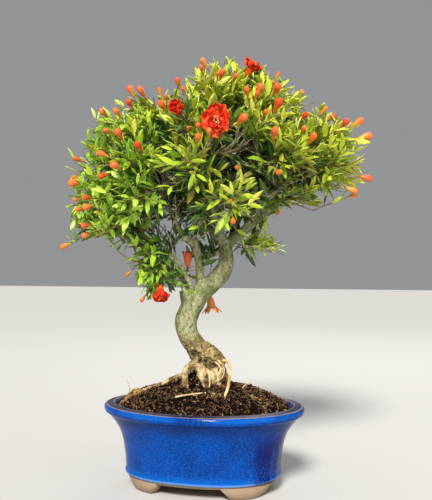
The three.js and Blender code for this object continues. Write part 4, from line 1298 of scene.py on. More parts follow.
SKIN = 0.97  # the share at which the buds stand
BUD_SHARE = 0.5  # how many of the far side's shoots end in a bud
NEAR_SIDE = -20
FAR_LOW = 330
TWIG = {"at": 0.45, "turn": 35, "uneven": 70, "lean": 50, "length": 34, "lift": 3}


def seen_at(column, row):
    """The first point of the crown's skin on the line of sight through a place in the picture."""
    eye = Vector((0, -EYE["away"], EYE["height"]))
    ray = Vector(((column - VIEW["axis"]) / VIEW["focal"], 1, (VIEW["horizon"] - row) / VIEW["focal"]))
    spots = [eye + ray * (EYE["away"] + depth) for depth in SIGHT]
    inside_crown = [spot for spot in spots if crown_share(spot) <= SKIN]
    return inside_crown[0] if inside_crown else min(spots, key=crown_share)


def side_shoot(index, shoot):
    """The end of the plain model's side shoot."""
    at = bent(shoot["base"], shoot["pull"], shoot["tip"], TWIG["at"])
    turn = math.radians(TWIG["turn"] + TWIG["uneven"] * (chance(index, 60) - 0.5))
    way = off(shoot["way"], turn, math.radians(TWIG["lean"]))
    return at + way * TWIG["length"] + UP * TWIG["lift"]


def far_ends():
    """Ends of the far side's upper shoots and side shoots that carry a bud."""
    ends = []
    for index, shoot in enumerate(SHOOTS, 1):
        if shoot["tip"].y > NEAR_SIDE and chance(index, 40) < BUD_SHARE:
            ends.append(shoot["tip"])
        if shoot["tip"].y > NEAR_SIDE and chance(index, 50) < BUD_SHARE:
            ends.append(side_shoot(index, shoot))
    return [end for end in ends if end.z > FAR_LOW]


NEAR_BUDS = [seen_at(*spot[:2]) for spot in BUDS_SEEN]
FAR_BUDS = far_ends()
BUD_SIZES = [spot[2] if len(spot) > 2 else 1.0 for spot in BUDS_SEEN] + [1.0] * len(FAR_BUDS)
print(len(NEAR_BUDS), "buds in front and", len(FAR_BUDS), "behind")


# %% [markdown]
# ## Room for the flowers
# Buds and blooms sit at the ends of shoots, in full light, and leaves don't grow over them. A tree
# of points answers quickly whether a leaf would come too near one, or would hide it from the front.
# The same cell keeps some places of the crown thin, where its twigs show.

# %% Room round buds and blooms
def tree_of(points):
    tree = KDTree(len(points))
    for k, point in enumerate(points):
        tree.insert(point, k)
    tree.balance()
    return tree


BLOOM_ROOM = 13
BUD_ROOM = 5.5
BLOOM_LINE = (-6, 4, 14, 26)  # along the way that a bloom faces
BUD_LINE_OUT = (-5, 3, 10)
FRONT = Vector((0, -1, 0))
SEEN_BEFORE = 40  # blooms that stand before this depth are kept free to the front

bloom_spots = [Vector(b["at"]) + b["way"] * reach for b in BLOOMS for reach in BLOOM_LINE]
for bloom in BLOOMS:
    if bloom["at"][1] < SEEN_BEFORE:
        start = Vector(bloom["at"]) + bloom["way"] * BLOOM_LINE[0]
        bloom_spots += [start + FRONT * ahead for ahead in range(10, 70, 10)]
bud_spots = [spot + outward(spot) * reach for spot in NEAR_BUDS + FAR_BUDS for reach in BUD_LINE_OUT]
bud_spots += [spot + FRONT * ahead for spot in NEAR_BUDS for ahead in (8, 16, 24)]
near_bloom = tree_of(bloom_spots)
near_bud = tree_of(bud_spots)
print(len(bloom_spots), "points keep room for blooms and", len(bud_spots), "for buds")


def hides_bloom(point):
    return near_bloom.find(point)[2] < BLOOM_ROOM or near_bud.find(point)[2] < BUD_ROOM


OPEN_SPOTS = [  # right, up, reach
    (36, 398, 34), (-42, 350, 25), (14, 312, 28), (40, 305, 14), (54, 316, 14), (64, 326, 12),
]
OPEN_DEPTH = -15


def is_open(point):
    """Whether a point is where the front of the crown is thin and shows its twigs."""
    near = any(math.hypot(point.x - x, point.z - z) < reach for x, z, reach in OPEN_SPOTS)
    return point.y < OPEN_DEPTH and near


# %% [markdown]
# ## One skin
# Trunk, roots and limbs are tapering tubes that grow out of each other with soft collars. Joining
# them by Boolean leaves sharp seams. A voxel remesh lays one skin over all of them, and a few rounds
# of smoothing make the collars; the hollows are then pressed in, and the skin is roughened.

# %% One skin over trunk, roots and limbs
SKIN_STEPS = [
    ("REMESH", {"mode": "VOXEL", "voxel_size": 1.15}),
    ("SMOOTH", {"factor": 0.5, "iterations": 3}),
]
ROOT_TOP = 178  # the wood gets rough from this height down
KNOB_SIZE = 12


def wood_skin():
    lines = [through(TRUNK, 5), *(through(rows, 5) for rows in ROOTS), through(STUB, 4)]
    lines += LIMB_ROUTES.values()
    return evaluated(rods("trunk", lines, 6), SKIN_STEPS)


def hollow_at(at):
    """How deep in one of the dark hollows of the foot a point lies."""
    return max(max(0.0, 1 - (at - Vector(spot[:3])).length / spot[3]) for spot in HOLLOWS)


def roughened(mesh):
    """Knobs, swellings and wrinkles: coarse and deep at the roots, fine and shallow above."""
    normals = [vert.normal.copy() for vert in mesh.vertices]
    dips = []
    for vert, normal in zip(mesh.vertices, normals):
        at = vert.co
        low = min(1.0, max(0.0, (ROOT_TOP - at.z) / 26))
        rough = max(low, 1 - (at - KNOB).length / KNOB_SIZE)
        swelling, fine, grain = (noise.noise(at / size) for size in (16, 4.5, 2.1))
        lump = noise.fractal(at / 7, 0.8, 2.1, 3)
        hollow = hollow_at(at)
        push = 0.5 * swelling + 0.25 * fine + rough * (1.4 * lump + 0.45 * grain) - 3.4 * hollow
        vert.co = at + normal * push
        # dip: how low a point of the relief lies, deepest in the foot's hollows; the bark paints it darker as
        # painted shade
        dips.append(0.5 - 0.5 * (0.6 * fine + 0.4 * grain) - 0.35 * low * lump + 1.2 * hollow)
    mesh.attributes.new("dip", "FLOAT", "POINT").data.foreach_set("value", dips)
    return mesh


wood_mesh = roughened(wood_skin())
print("one skin of", len(wood_mesh.polygons), "faces")

# %% [markdown]
# ## Bark
# Pomegranate bark is pale, greenish cream with olive patches and dark flecks. Near the soil it
# turns ochre and rough, with hollows that are darkened by lichen and by painted shade, and the bare
# roots are a warm cream. All of it is laid on by where a point is on the tree: noise for the patches,
# height in metres for the zones. The relief's own depth, kept as `dip`, darkens what lies low, as
# painted shade in the recesses.


# %% The bark
PALE_BARK = srgb(100, 108, 60), srgb(152, 154, 116)
OCHRE_BARK = srgb(112, 90, 48), srgb(174, 150, 98)
ROOT_CREAM = srgb(128, 96, 56), srgb(212, 186, 136)
GREY_BARK = srgb(74, 68, 50), srgb(132, 126, 100)
LICHEN_AND_SHADE = srgb(26, 19, 8), srgb(112, 104, 58)
OLIVE, UMBER, MOSSY = srgb(80, 84, 36), srgb(70, 58, 28), srgb(62, 64, 28)
KNOB_BROWN, SAWN_WOOD = srgb(92, 74, 54), srgb(186, 164, 120)
SPECK, FLECK, PIT_SHADE = srgb(38, 38, 18), srgb(54, 52, 26), srgb(46, 35, 14)
GRAIN_DARK, GRAIN_PALE = srgb(50, 50, 24), srgb(194, 188, 154)


def bark_paint():
    paint = Paint("pale_bark", IOR=1.45, Specular_IOR_Level=0.3)
    at = paint.place()
    height = paint.part(at, "Z")
    dip = paint.attribute("dip")
    patch = paint.noise(paint.place(0, (1, 1, 0.6)), 80, 3.0, 0.55)
    fine = paint.noise(at, 560, 4.0, 0.7)
    scurf = paint.noise(at, 250, 4.0, 0.65)
    pale = paint.mix(paint.ease(patch, 0.36, 0.62), *PALE_BARK)
    pale = paint.mix(paint.ease(scurf, 0.52, 0.6) * 0.75, pale, OLIVE)
    ochre = paint.mix(paint.ease(patch, 0.35, 0.65), *OCHRE_BARK)
    ochre = paint.mix(paint.ease(scurf, 0.52, 0.64) * 0.6, ochre, UMBER)
    cream = paint.mix(paint.ease(patch, 0.35, 0.6), *ROOT_CREAM)
    colour = paint.mix(paint.ease(height + patch * 0.03, 0.208, 0.178), pale, ochre)
    colour = paint.mix(paint.ease(height + patch * 0.02, 0.166, 0.152), colour, cream)
    moss = paint.ease(paint.noise(at, 60, 3.0), 0.56, 0.66) * paint.ease(height, 0.19, 0.165)
    colour = paint.mix(moss * 0.7, colour, MOSSY)
    grey = paint.mix(scurf, *GREY_BARK)
    colour = paint.mix(paint.ease(height, 0.33, 0.37) * 0.7, colour, grey)
    knob = paint.ease(paint.distance(at, KNOB), 0.015, 0.008) * paint.ease(scurf, 0.42, 0.56)
    colour = paint.mix(knob * 0.8, colour, KNOB_BROWN)
    cut = paint.ease(paint.distance(at, CUT), 0.0062, 0.0048)
    colour = paint.mix(cut * 0.8, colour, SAWN_WOOD)
    speck = paint.ease(paint.cells(at, 330), 0.3, 0.14) * paint.ease(patch + scurf * 0.5, 0.82, 0.7)
    colour = paint.mix(speck * 0.85, colour, SPECK)
    fleck = paint.ease(paint.cells(at, 610), 0.34, 0.16) * paint.ease(scurf, 0.46, 0.54)
    colour = paint.mix(fleck * 0.7, colour, FLECK)
    colour = paint.mix(paint.ease(fine, 0.54, 0.64) * 0.5, colour, GRAIN_PALE)
    colour = paint.mix(paint.ease(fine, 0.46, 0.36) * 0.5, colour, GRAIN_DARK)
    low = paint.ease(height, 0.19, 0.165)
    # painted shade: the deep points of the low relief are painted dark
    colour = paint.mix(paint.ease(dip, 0.52, 0.7) * low * 0.85, colour, PIT_SHADE)
    # lichen and painted shade: the foot's hollows are painted from nearly black to olive
    lichen_and_shade = paint.mix(paint.ease(paint.noise(at, 330, 3.0), 0.42, 0.6), *LICHEN_AND_SHADE)
    hollow = paint.ease(dip + scurf * 0.5, 1.0, 1.24) * low
    colour = paint.mix(hollow * 0.94, colour, lichen_and_shade)
    paint.wear(Base_Color=colour, Roughness=0.62 + fine * 0.25)
    paint.wear(Normal=paint.bump(fine * 0.5 + scurf * 0.5, 1.3))
    return paint


bark = bark_paint()
trunk = finish("trunk", wood_mesh, bark, ["wood"])
branch_bark = mixed_paint("branch_bark", srgb(80, 68, 48), srgb(142, 134, 100), 120)
branches = finish("branches", rods("branches", BRANCHES, 2), branch_bark, ["wood"])
pale_root = mixed_paint("pale_root", srgb(176, 148, 92), srgb(236, 216, 162), 70)
root_mesh = rods("pale_roots", [through(rows, 5) for rows in PALE_ROOTS], 2)
thin_roots = finish("pale_roots", root_mesh, pale_root, ["wood"])
report(trunk, branches, thin_roots)

# %% [markdown]
# ## One leaf
# A pomegranate leaf is narrow and oblong, folded a little along its rib and bowed back at the
# tip. A sphere with four meridians, pressed flat, has just what is needed: two meridians become
# the edges and two the rib, above and below. It is closed, with thirty-two triangles in all.

# %% Leaf shapes
LEAF_STATIONS = 5
BLADE_THICK = 0.014


def leaf_shape(width, fold, bow_back, swing):
    """A leaf of length 1 from the origin along X, its upper side towards +Z."""
    bm = bmesh.new()
    bmesh.ops.create_uvsphere(bm, u_segments=4, v_segments=LEAF_STATIONS, radius=1)
    uv = bm.loops.layers.uv.new("leaf")
    spots = {}
    for vert in bm.verts:
        share = 1 - math.acos(max(-1.0, min(1.0, vert.co.z))) / math.pi
        ring = max(1e-6, math.hypot(vert.co.x, vert.co.y))
        side, above = vert.co.x / ring, vert.co.y / ring
        half = width / 2 * math.sin(math.pi * share**0.86) ** 0.72 if 0.01 < share < 0.99 else 0.0
        spots[vert] = (0.5 + side / 2, share)
        lift = fold * abs(side) * half + BLADE_THICK * above * math.sin(math.pi * share)
        vert.co = (share, side * half + swing * share**2, lift - bow_back * share**2)
    for face in bm.faces:
        for loop in face.loops:
            loop[uv].uv = spots[loop.vert]
    for edge in bm.edges:
        if all(abs(spots[vert][0] - 0.5) > 0.4 or spots[vert][1] in (0.0, 1.0) for vert in edge.verts):
            edge.smooth = False
    return template(bm, "leaf")


LEAF_KINDS = [  # width, fold, bow back and swing, as shares of the length
    (0.28, 0.3, 0.1, 0.04), (0.3, 0.2, 0.16, -0.06), (0.25, 0.35, 0.05, 0.07),
    (0.31, 0.25, 0.22, 0.0), (0.27, 0.15, -0.04, -0.05), (0.24, 0.3, 0.12, 0.1),
]
LEAVES = [leaf_shape(*kind) for kind in LEAF_KINDS]
print(len(LEAVES), "leaf shapes of", len(LEAVES[0].polygons), "faces")

# %% [markdown]
# ## How a shoot grows
# Leaves stand in pairs along a shoot, each pair turned a quarter from the last, and lean towards
# its tip. Each could be set by hand on one shoot that is then copied, but copies show. A grower
# walks along a line instead and draws each leaf afresh, from a seed that makes it repeatable.
# Leaves near the tip are small, young and yellow-green, those further in are dark.

# %% Growing leaves on a line
GOLDEN = math.radians(137.5)
ROOM = 7  # how far past the plain model's box a leaf may reach
PAIR_GAP = 7.0
LIFT = 0.16  # how much each leaf turns up to the light
RAGGED = {"height": 0.09, "lump": 24, "stray": 0.02}  # how uneven the crown's surface is
THINNED = {"open": 0.7, "outside": 0.3, "from": 0.88}  # shares of leaves left out, and where
SHADE = {"from": 0.45, "to": 0.83, "loss": 0.4}  # painted shade: leaves further in the crown are painted darker, through a lower age


def inside(point):
    """Whether a point of the tree's frame lies in the plain model's box, and a little past it."""
    at = IN_TREE @ point
    room = ROOM * MM
    low, high = PLAIN_BOX
    return all(low[k] - room < at[k] < high[k] + room for k in range(3))


class Grower:
    """Collects the leaves and twigs of one shoot."""

    def __init__(self, seed):
        self.rng = random.Random(seed)
        self.leaves = []
        self.twigs = []

    def leaf(self, root, way, size, age):
        """A leaf from a root along a way, unless it would stand out or hide a flower."""
        rng = self.rng
        way = (way + UP * LIFT).normalized()
        tip = root + way * size
        share = crown_share(tip)
        luck = rng.random()
        surface = 1.0 + RAGGED["height"] * noise.noise(tip / RAGGED["lump"])
        if not inside(tip) or share > surface + rng.gauss(0, RAGGED["stray"]):
            return
        if luck < THINNED["open"] and is_open(tip):
            return
        if luck < THINNED["outside"] and share > THINNED["from"]:
            return
        if hides_bloom(tip) or hides_bloom(root.lerp(tip, 0.5)):
            return
        # painted shade: the further in the crown a leaf sits, the darker its age paints it
        lit = (share - SHADE["from"]) / (SHADE["to"] - SHADE["from"])
        age *= 1 - SHADE["loss"] + SHADE["loss"] * min(1.0, max(0.0, lit))
        normal = across(way)
        side = normal.cross(way).normalized()
        roll = rng.gauss(0, 0.55)
        normal = leaning(normal, side, roll)
        side = normal.cross(way).normalized()
        turn = Matrix((way, side, normal)).transposed().to_4x4()
        shape = Matrix.Diagonal((size, size * rng.uniform(0.85, 1.15), size, 1))
        warm = 0.5 + (tip.x - HEART.x + tip.z - HEART.z) / 350 + rng.gauss(0, 0.12)
        age += rng.gauss(0, 0.09)
        colour = (min(1.0, max(0.0, age)), rng.random(), min(1.0, max(0.0, warm)), 1.0)
        self.leaves.append((rng.choice(LEAVES), Matrix.Translation(root) @ turn @ shape, colour))

    def pairs(self, route, sizes, ages, bare=0.1):
        """Pairs of leaves along a route, and one at its end."""
        rng = self.rng
        places, length = measured(route)
        count = max(2, round(length * (1 - bare) / PAIR_GAP))
        turn = rng.uniform(0, math.tau)
        for k in range(count):
            share = bare + (1 - bare) * k / (count - 1)
            at, ahead = spot_on(places, min(share, 0.999))
            turn += math.pi / 2 + rng.gauss(0, 0.25)
            size = sizes[0] + (sizes[1] - sizes[0]) * share
            age = ages[0] + (ages[1] - ages[0]) * share
            lean = math.radians(rng.uniform(34, 62) * (1 - 0.35 * share))
            for flip in (0, math.pi):
                self.leaf(at, off(ahead, turn + flip, lean), size * rng.uniform(0.8, 1.15), age)
        last = (ahead + 0.2 * across(ahead)).normalized()
        self.leaf(places[-1], last, sizes[1] * 0.9, ages[1])

    def twig(self, start, way, length, sizes, ages, lift=0.25):
        """A side twig with its leaves."""
        end = start + (way + UP * lift).normalized() * length
        if not inside(end) or crown_share(end) > 1.0 or hides_bloom(end):
            return
        route = bow(start, start + way * length * 0.45, end, (0.7, 0.4), 4)
        self.twigs.append(route)
        self.pairs(route, sizes, ages, 0.22)


sample = Grower(0)
sample.pairs(bow(HEART, HEART + UP * 30, HEART + UP * 60, (1, 1), 4), (27, 18), (0.4, 0.9))
print("a sample shoot of 60 mm has", len(sample.leaves), "leaves")

# %% [markdown]
# ## A shoot with its side twigs
# The shoots of the plain model are kept, line by line, and each gets side twigs of its own. Twigs
# at random angles would leave holes. The golden angle, by which many plants space what they
# grow, turns each twig into the widest gap that the last ones left.


# %% Growing a shoot
SHOOT_LEAF = (27, 18)  # a leaf's length at a shoot's foot and at its tip


def grow_shoot(index, shoot, side_twigs):
    """The leaves and twigs of one of the plain model's shoots."""
    grower = Grower(index)
    rng = grower.rng
    route = bow(shoot["base"], shoot["pull"], shoot["tip"], (1.2, 0.55), 8)
    grower.twigs.append(route)
    grower.pairs(route, SHOOT_LEAF, (0.35, 0.95))
    for k in range(side_twigs):
        share = 0.04 + 0.84 * k / (side_twigs - 1)
        at = bent(shoot["base"], shoot["pull"], shoot["tip"], share)
        way = off(shoot["way"], GOLDEN * k + index, math.radians(rng.uniform(36, 66)))
        length = (50 - 28 * share) * rng.uniform(0.75, 1.2)
        grower.twig(at, way, length, SHOOT_LEAF, (0.25 + 0.35 * share, 0.65 + 0.3 * share))
    return grower


print("each side twig turns", round(math.degrees(GOLDEN), 1), "degrees from the last")

# %% [markdown]
# ## Leaf green
# The colour of a leaf is mostly its age: blue-green and deep inside the crown, fresh yellow-green
# outside, with a few tips gone yellow; the leaves deep in the crown are also painted darker, as painted
# shade. The rib is paler, and the blade glossy enough to catch the sun. Each leaf carries that age,
# darkened by the painted shade, as its tint, so one paint is enough for all of them.


# %% The leaf's paint
LEAF_AGES = [  # from the oldest leaf to the youngest
    (0.0, srgb(46, 78, 32)), (0.28, srgb(102, 136, 40)), (0.52, srgb(164, 186, 42)),
    (0.78, srgb(210, 217, 58)), (1.0, srgb(236, 234, 114)),
]
YELLOW_TIP, RIB, MOTTLE = srgb(206, 186, 60), srgb(196, 206, 110), srgb(60, 104, 24)
COOL = (0.7, 0.98, 1, 1)  # what the leaves low at the left are multiplied by
LEAF_GLOSS = {"IOR": 1.45, "Coat_Weight": 0.16, "Coat_Roughness": 0.3, "Specular_IOR_Level": 0.35}


def leaf_paint():
    paint = Paint("pomegranate_leaf", **LEAF_GLOSS)
    at = paint.place()
    tint = paint.attribute("tint", "Color")
    # the age holds the painted shade of the inner leaves
    age, luck, warm = (paint.part(tint, axis) for axis in "XYZ")
    spot = paint.node("ShaderNodeUVMap", {"uv_map": "leaf"})
    side, share = paint.part(spot, "X"), paint.part(spot, "Y")
    age = age + (paint.noise(at, 30, 1.0) - 0.5) * 0.3
    green = paint.ramp(age, *LEAF_AGES)
    green = paint.mix(paint.ease(warm, 0.6, 0.15), green, COOL, "MULTIPLY")
    yellow = paint.ease(luck, 0.955, 0.97) * paint.ease(share, 0.2, 0.8)
    green = paint.mix(yellow * 0.8, green, YELLOW_TIP)
    rib = paint.ease(abs(side - 0.5), 0.09, 0.0)
    green = paint.mix(rib * 0.4, green, RIB)
    mottle = paint.noise(at, 260, 2.0)
    green = paint.mix(mottle * 0.2, green, MOTTLE, "MULTIPLY")
    paint.wear(Base_Color=green, Roughness=0.36 + mottle * 0.16)
    paint.wear(Normal=paint.bump(rib * 0.6 + mottle * 0.4, 0.2))
    return paint


SIDE_TWIGS = {SPRAY["length"]: 16, SPRAY["stray"]: 12}
leaf_green = leaf_paint()
twig_routes = []
leaf_total = 0
for index, shoot in enumerate(SHOOTS, 1):
    grower = grow_shoot(index, shoot, SIDE_TWIGS[shoot["length"]])
    name = f"spray_{index:02d}"
    finish(f"{name}_leaves", in_batches(name, grower.leaves), leaf_green, [name])
    twig_routes += grower.twigs
    leaf_total += len(grower.leaves)
print(leaf_total, "leaves on", len(twig_routes), "twigs")


# %% [markdown]
# ## Leaves inside
# Between the outer sprays one looks into the crown, on older leaves in the shade, and some twigs
# hang low under it. They are grown with the same hand as the sprays, along the branches, but
# sparser and darker, and they close the gaps without making a wall.

# %% The dark leaves inside the crown
def grow_inside(grower, route, first, spacing, reach):
    """Short twigs with dark leaves along the outer part of a branch."""
    rng = grower.rng
    places, length = measured(route)
    count = max(2, round(length * (1 - first) / spacing))
    for k in range(count):
        at, ahead = spot_on(places, first + (0.98 - first) * k / (count - 1))
        turn = GOLDEN * k + rng.uniform(-0.4, 0.4)
        way = off(ahead, turn, math.radians(rng.uniform(40, 75)))
        grower.twig(at, way, reach * rng.uniform(0.7, 1.3), (27, 20), (0.02, 0.3), 0.1)


DROOPING = [  # twigs that hang low: start, way, length and age
    ((44, 4, 298), (1, -0.1, -0.3), 52, 0.55), ((46, 8, 296), (1, 0.2, -0.3), 50, 0.5),
    ((40, 2, 294), (1, -0.3, -0.2), 48, 0.6), ((40, 10, 290), (1, 0.3, -0.15), 48, 0.45),
    ((50, 6, 304), (1, 0, -0.4), 46, 0.55), ((42, 6, 292), (0.7, 0, -0.6), 40, 0.5),
    ((56, 8, 310), (1, 0.2, -0.55), 46, 0.55), ((70, 6, 328), (0.9, -0.3, -0.2), 40, 0.5),
    ((-60, -14, 286), (-0.5, -0.4, -0.6), 44, 0.35), ((-76, -18, 292), (-0.6, -0.3, -0.5), 44, 0.45),
    ((-50, -12, 283), (-0.3, -0.6, -0.7), 42, 0.3), ((-90, -20, 298), (-0.6, -0.5, -0.4), 40, 0.45),
    ((-38, -10, 276), (-0.3, -0.4, -0.8), 38, 0.25), ((-66, 4, 286), (-0.5, 0.4, -0.6), 44, 0.3),
    ((-44, -12, 279), (-0.6, -0.5, -0.5), 44, 0.3), ((-34, -8, 272), (-0.1, -0.5, -0.9), 38, 0.2),
    ((-30, -8, 268), (-0.5, -0.2, -0.7), 40, 0.2), ((-56, -4, 284), (-0.3, 0.1, -0.9), 44, 0.3),
    ((-4, 8, 262), (0.5, 0.3, 0.5), 34, 0.15), ((0, 14, 270), (0.2, 0.4, 0.6), 40, 0.15),
    ((-20, 16, 262), (0.2, 0.5, 0.6), 40, 0.15), ((10, 16, 276), (0.3, 0.3, 0.7), 36, 0.15),
]
LIMB_LEAVES_FROM = 318  # the limbs are bare below this height
inner = Grower(77)
for start, way, length, age in DROOPING:
    inner.twig(Vector(start), Vector(way).normalized(), length, (25, 17), (age, age + 0.3), 0.0)
for route in BRANCHES:
    grow_inside(inner, route, 0.3, 6, 34)
for route in LIMB_ROUTES.values():
    high = [(place, radius) for place, radius in route if place.z > LIMB_LEAVES_FROM]
    if len(high) > 2:
        grow_inside(inner, high, 0.0, 8, 40)
dark = finish("inner_leaves", in_batches("inner_leaves", inner.leaves), leaf_green)
twig_routes += inner.twigs
report(dark)
print(len(inner.leaves), "leaves inside")


# %% [markdown]
# ## Buds
# The buds are small glossy clubs on the ends of the outer shoots: a neck that swells to a waxy
# head with six closed lobes. A stretched ball has no neck, so one outline is spun, and its head is
# pushed into faint ridges.

# %% A bud's shape
BUD_LENGTH = 17.9
BUD_HEAD = 11
BUD_LOBES = 6
BUD_LINE = [  # radius and height
    (0.0, -0.4), (1.1, 0.0), (1.5, 2.0), (2.0, 4.2), (2.7, 6.4), (3.4, 8.6), (3.95, 10.8),
    (4.15, 12.8), (3.95, 14.6), (3.3, 16.0), (2.2, 17.0), (1.1, 17.5), (0.0, BUD_LENGTH),
]


def bud_shape(lobed):
    bm = bmesh.new()
    spun(bm, BUD_LINE, 12)
    for vert in bm.verts:
        if vert.co.z > BUD_HEAD:
            turn = math.atan2(vert.co.y, vert.co.x)
            ridge = 1 + lobed * math.cos(BUD_LOBES * turn) * (vert.co.z - BUD_HEAD) / 6
            vert.co.x *= ridge
            vert.co.y *= ridge
    return with_height(template(bm, "bud"), BUD_LENGTH)


BUD_SHAPES = [bud_shape(lobed) for lobed in (0.02, 0.09, 0.16)]
print(len(BUD_SHAPES), "bud shapes of", len(BUD_SHAPES[0].polygons), "faces")


def upright(way, spin=0.0):
    """The turn that takes upright to a way, after a spin round it."""
    return UP.rotation_difference(way).to_matrix().to_4x4() @ Matrix.Rotation(spin, 4, "Z")


def bud_at(rng, neck, way, grown):
    """A bud whose neck starts at a point."""
    size = grown * rng.uniform(0.68, 1.04)
    plump = size * rng.uniform(0.85, 1.1)
    shape = Matrix.Diagonal((plump, plump, size, 1))
    colour = (rng.random(), 0.3 * rng.random(), rng.random(), 1.0)
    place = Matrix.Translation(neck) @ upright(way, rng.uniform(0, math.tau)) @ shape
    return (rng.choice(BUD_SHAPES), place, colour)


# %% [markdown]
# ## Bud shoots
# A bud ends a short shoot of its own. The shoot could start anywhere, but it looks grown only when
# it leaves a twig that is already there, so each bud looks for the nearest end and bows to it, with
# a few pairs of small leaves on the way.

# %% Shoots that carry the buds
BUD_SHOOT = 38


def stem_points():
    """Places along the shoots and branches that a bud's shoot may leave from."""
    lines = [bow(shoot["base"], shoot["pull"], shoot["tip"], (1, 1), 6) for shoot in SHOOTS]
    return [place for route in [*lines, *BRANCHES] for place, _ in route]


def bud_shoots(places, sizes):
    """A leafy shoot from the nearest stem to each place, with the bud on its end."""
    grower = Grower(901)
    rng = grower.rng
    stems = stem_points()
    made = []
    for place, grown in zip(places, sizes):
        wanted = place - outward(place) * BUD_SHOOT
        root = min(stems, key=lambda stem: (stem - wanted).length)
        sway = 0.35 * any_way(rng)
        way = (outward(place) + 0.6 * (place - root).normalized() + sway).normalized()
        neck = place - way * BUD_HEAD * grown
        pull = root.lerp(neck, 0.5) - way * 0.12 * (neck - root).length
        route = bow(root, pull, neck, (0.9, 0.5), 6)
        grower.twigs.append(route)
        grower.pairs(route[2:-1], (21, 13), (0.6, 0.98))
        made.append(bud_at(rng, neck, way, grown))
    return grower, made


shoots_grown, buds_grown = bud_shoots(NEAR_BUDS + FAR_BUDS, BUD_SIZES)
print(len(buds_grown), "buds, and", len(shoots_grown.leaves), "leaves on their shoots")

# %% [markdown]
# ## The waxy red
# Buds and calyx have the same skin: thick, smooth and waxy, orange at the neck and in the young
# ones, scarlet in the ripe. Light under the skin could be shown with subsurface scatter, but a
# clear coat over a mixed colour looks as waxy at this size, and exports well.


# %% Buds on the tree
YOUNG_BUD = srgb(190, 140, 40), srgb(228, 98, 20)  # at the neck and at the head
RIPE_BUD = srgb(216, 90, 18), srgb(202, 44, 8)
FRECKLE, PALE_TONE_AND_PAINTED_LIGHT = srgb(244, 160, 84), srgb(255, 164, 100)
WAX = {"IOR": 1.45, "Coat_Weight": 0.3, "Coat_Roughness": 0.12, "Specular_IOR_Level": 0.25}


def calyx_paint():
    paint = Paint("waxy_calyx", **WAX)
    at = paint.place()
    tint = paint.attribute("tint", "Color")
    height = paint.attribute("height")
    ripe = paint.part(tint, "X")
    cloud = paint.noise(at, 180, 2.0)
    young = paint.mix(paint.ease(height, 0.3, 0.85), *YOUNG_BUD)
    red = paint.mix(paint.ease(height, 0.15, 0.6), *RIPE_BUD)
    colour = paint.mix(paint.ease(ripe + (cloud - 0.5) * 0.5, 0.2, 0.9), young, red)
    freckle = paint.ease(paint.noise(at, 900, 2.0), 0.6, 0.75)
    colour = paint.mix(freckle * 0.3, colour, FRECKLE)
    # a pale tone: a little at random on the buds, and on the star's urn painted light against the trunk's
    # shade
    colour = paint.mix(paint.part(tint, "Y") * 0.9, colour, PALE_TONE_AND_PAINTED_LIGHT)
    paint.wear(Base_Color=colour, Roughness=0.3 + cloud * 0.15)
    return paint


waxy = calyx_paint()
buds = finish("buds", copies("buds", buds_grown), waxy)
finish("bud_shoot_leaves", in_batches("bud_shoot_leaves", shoots_grown.leaves), leaf_green)
twig_routes += shoots_grown.twigs
report(buds)

# %% [markdown]
# ## The urn of a bloom
# An open bloom is a waxy orange urn with six pointed lobes, out of which the petals burst. The
# urn has a wall inside and out, so one outline that comes back on itself is spun. Lobes cut with
# Booleans would be sharp as tin; here the upper rings are raised and spread into soft points.

# %% The calyx
CALYX_TOP = 16.4
CALYX_FULL = 20  # height with the lobes on
CALYX_LINE = [  # radius and height
    (0.0, 0.0), (1.5, 0.1), (2.4, 1.6), (3.3, 4.0), (4.1, 6.6), (4.5, 9.0), (4.7, 11.0), (5.1, 13.0),
    (5.8, 14.8), (6.4, CALYX_TOP), (5.9, 16.2), (5.0, 14.6), (4.3, 13.0), (3.9, 11.4), (3.3, 9.6), (0.0, 9.4),
]
LOBES = {"count": 6, "from": 11.0, "flare": 3.4}


def calyx_shape(flare, height, notch, point):
    """An urn whose lobes flare, rise by a height and are cut by a notch; `point` makes them thin."""
    bm = bmesh.new()
    spun(bm, CALYX_LINE, 48)
    for vert in bm.verts:
        rise = max(0.0, (vert.co.z - LOBES["from"]) / (CALYX_TOP - LOBES["from"]))
        radius = math.hypot(vert.co.x, vert.co.y)
        if rise == 0 or radius < 0.1:
            continue
        turn = math.atan2(vert.co.y, vert.co.x) / math.tau * LOBES["count"]
        tooth = abs(2 * (turn % 1) - 1) ** point
        vert.co.z += rise * (tooth * height - (1 - tooth) * notch)
        grown = 1 + rise**1.6 * tooth * flare * LOBES["flare"] / radius
        vert.co.x *= grown
        vert.co.y *= grown
    return with_height(template(bm, "calyx"), CALYX_FULL)


print("an urn has", LOBES["count"], "lobes from a height of", LOBES["from"], "mm")

# %% [markdown]
# ## Petals
# A pomegranate petal is crumpled like tissue paper, because it was folded in the bud. A grid pulled
# into a petal's outline and lifted by noise gets such folds, and solidify gives it a thin wall.
# Five shapes, turned and scaled at random, are enough for all the blooms.

# %% A crumpled petal
PETAL = {"width": 1.1, "waist": 0.2, "widest": 0.6, "thickness": 0.022}


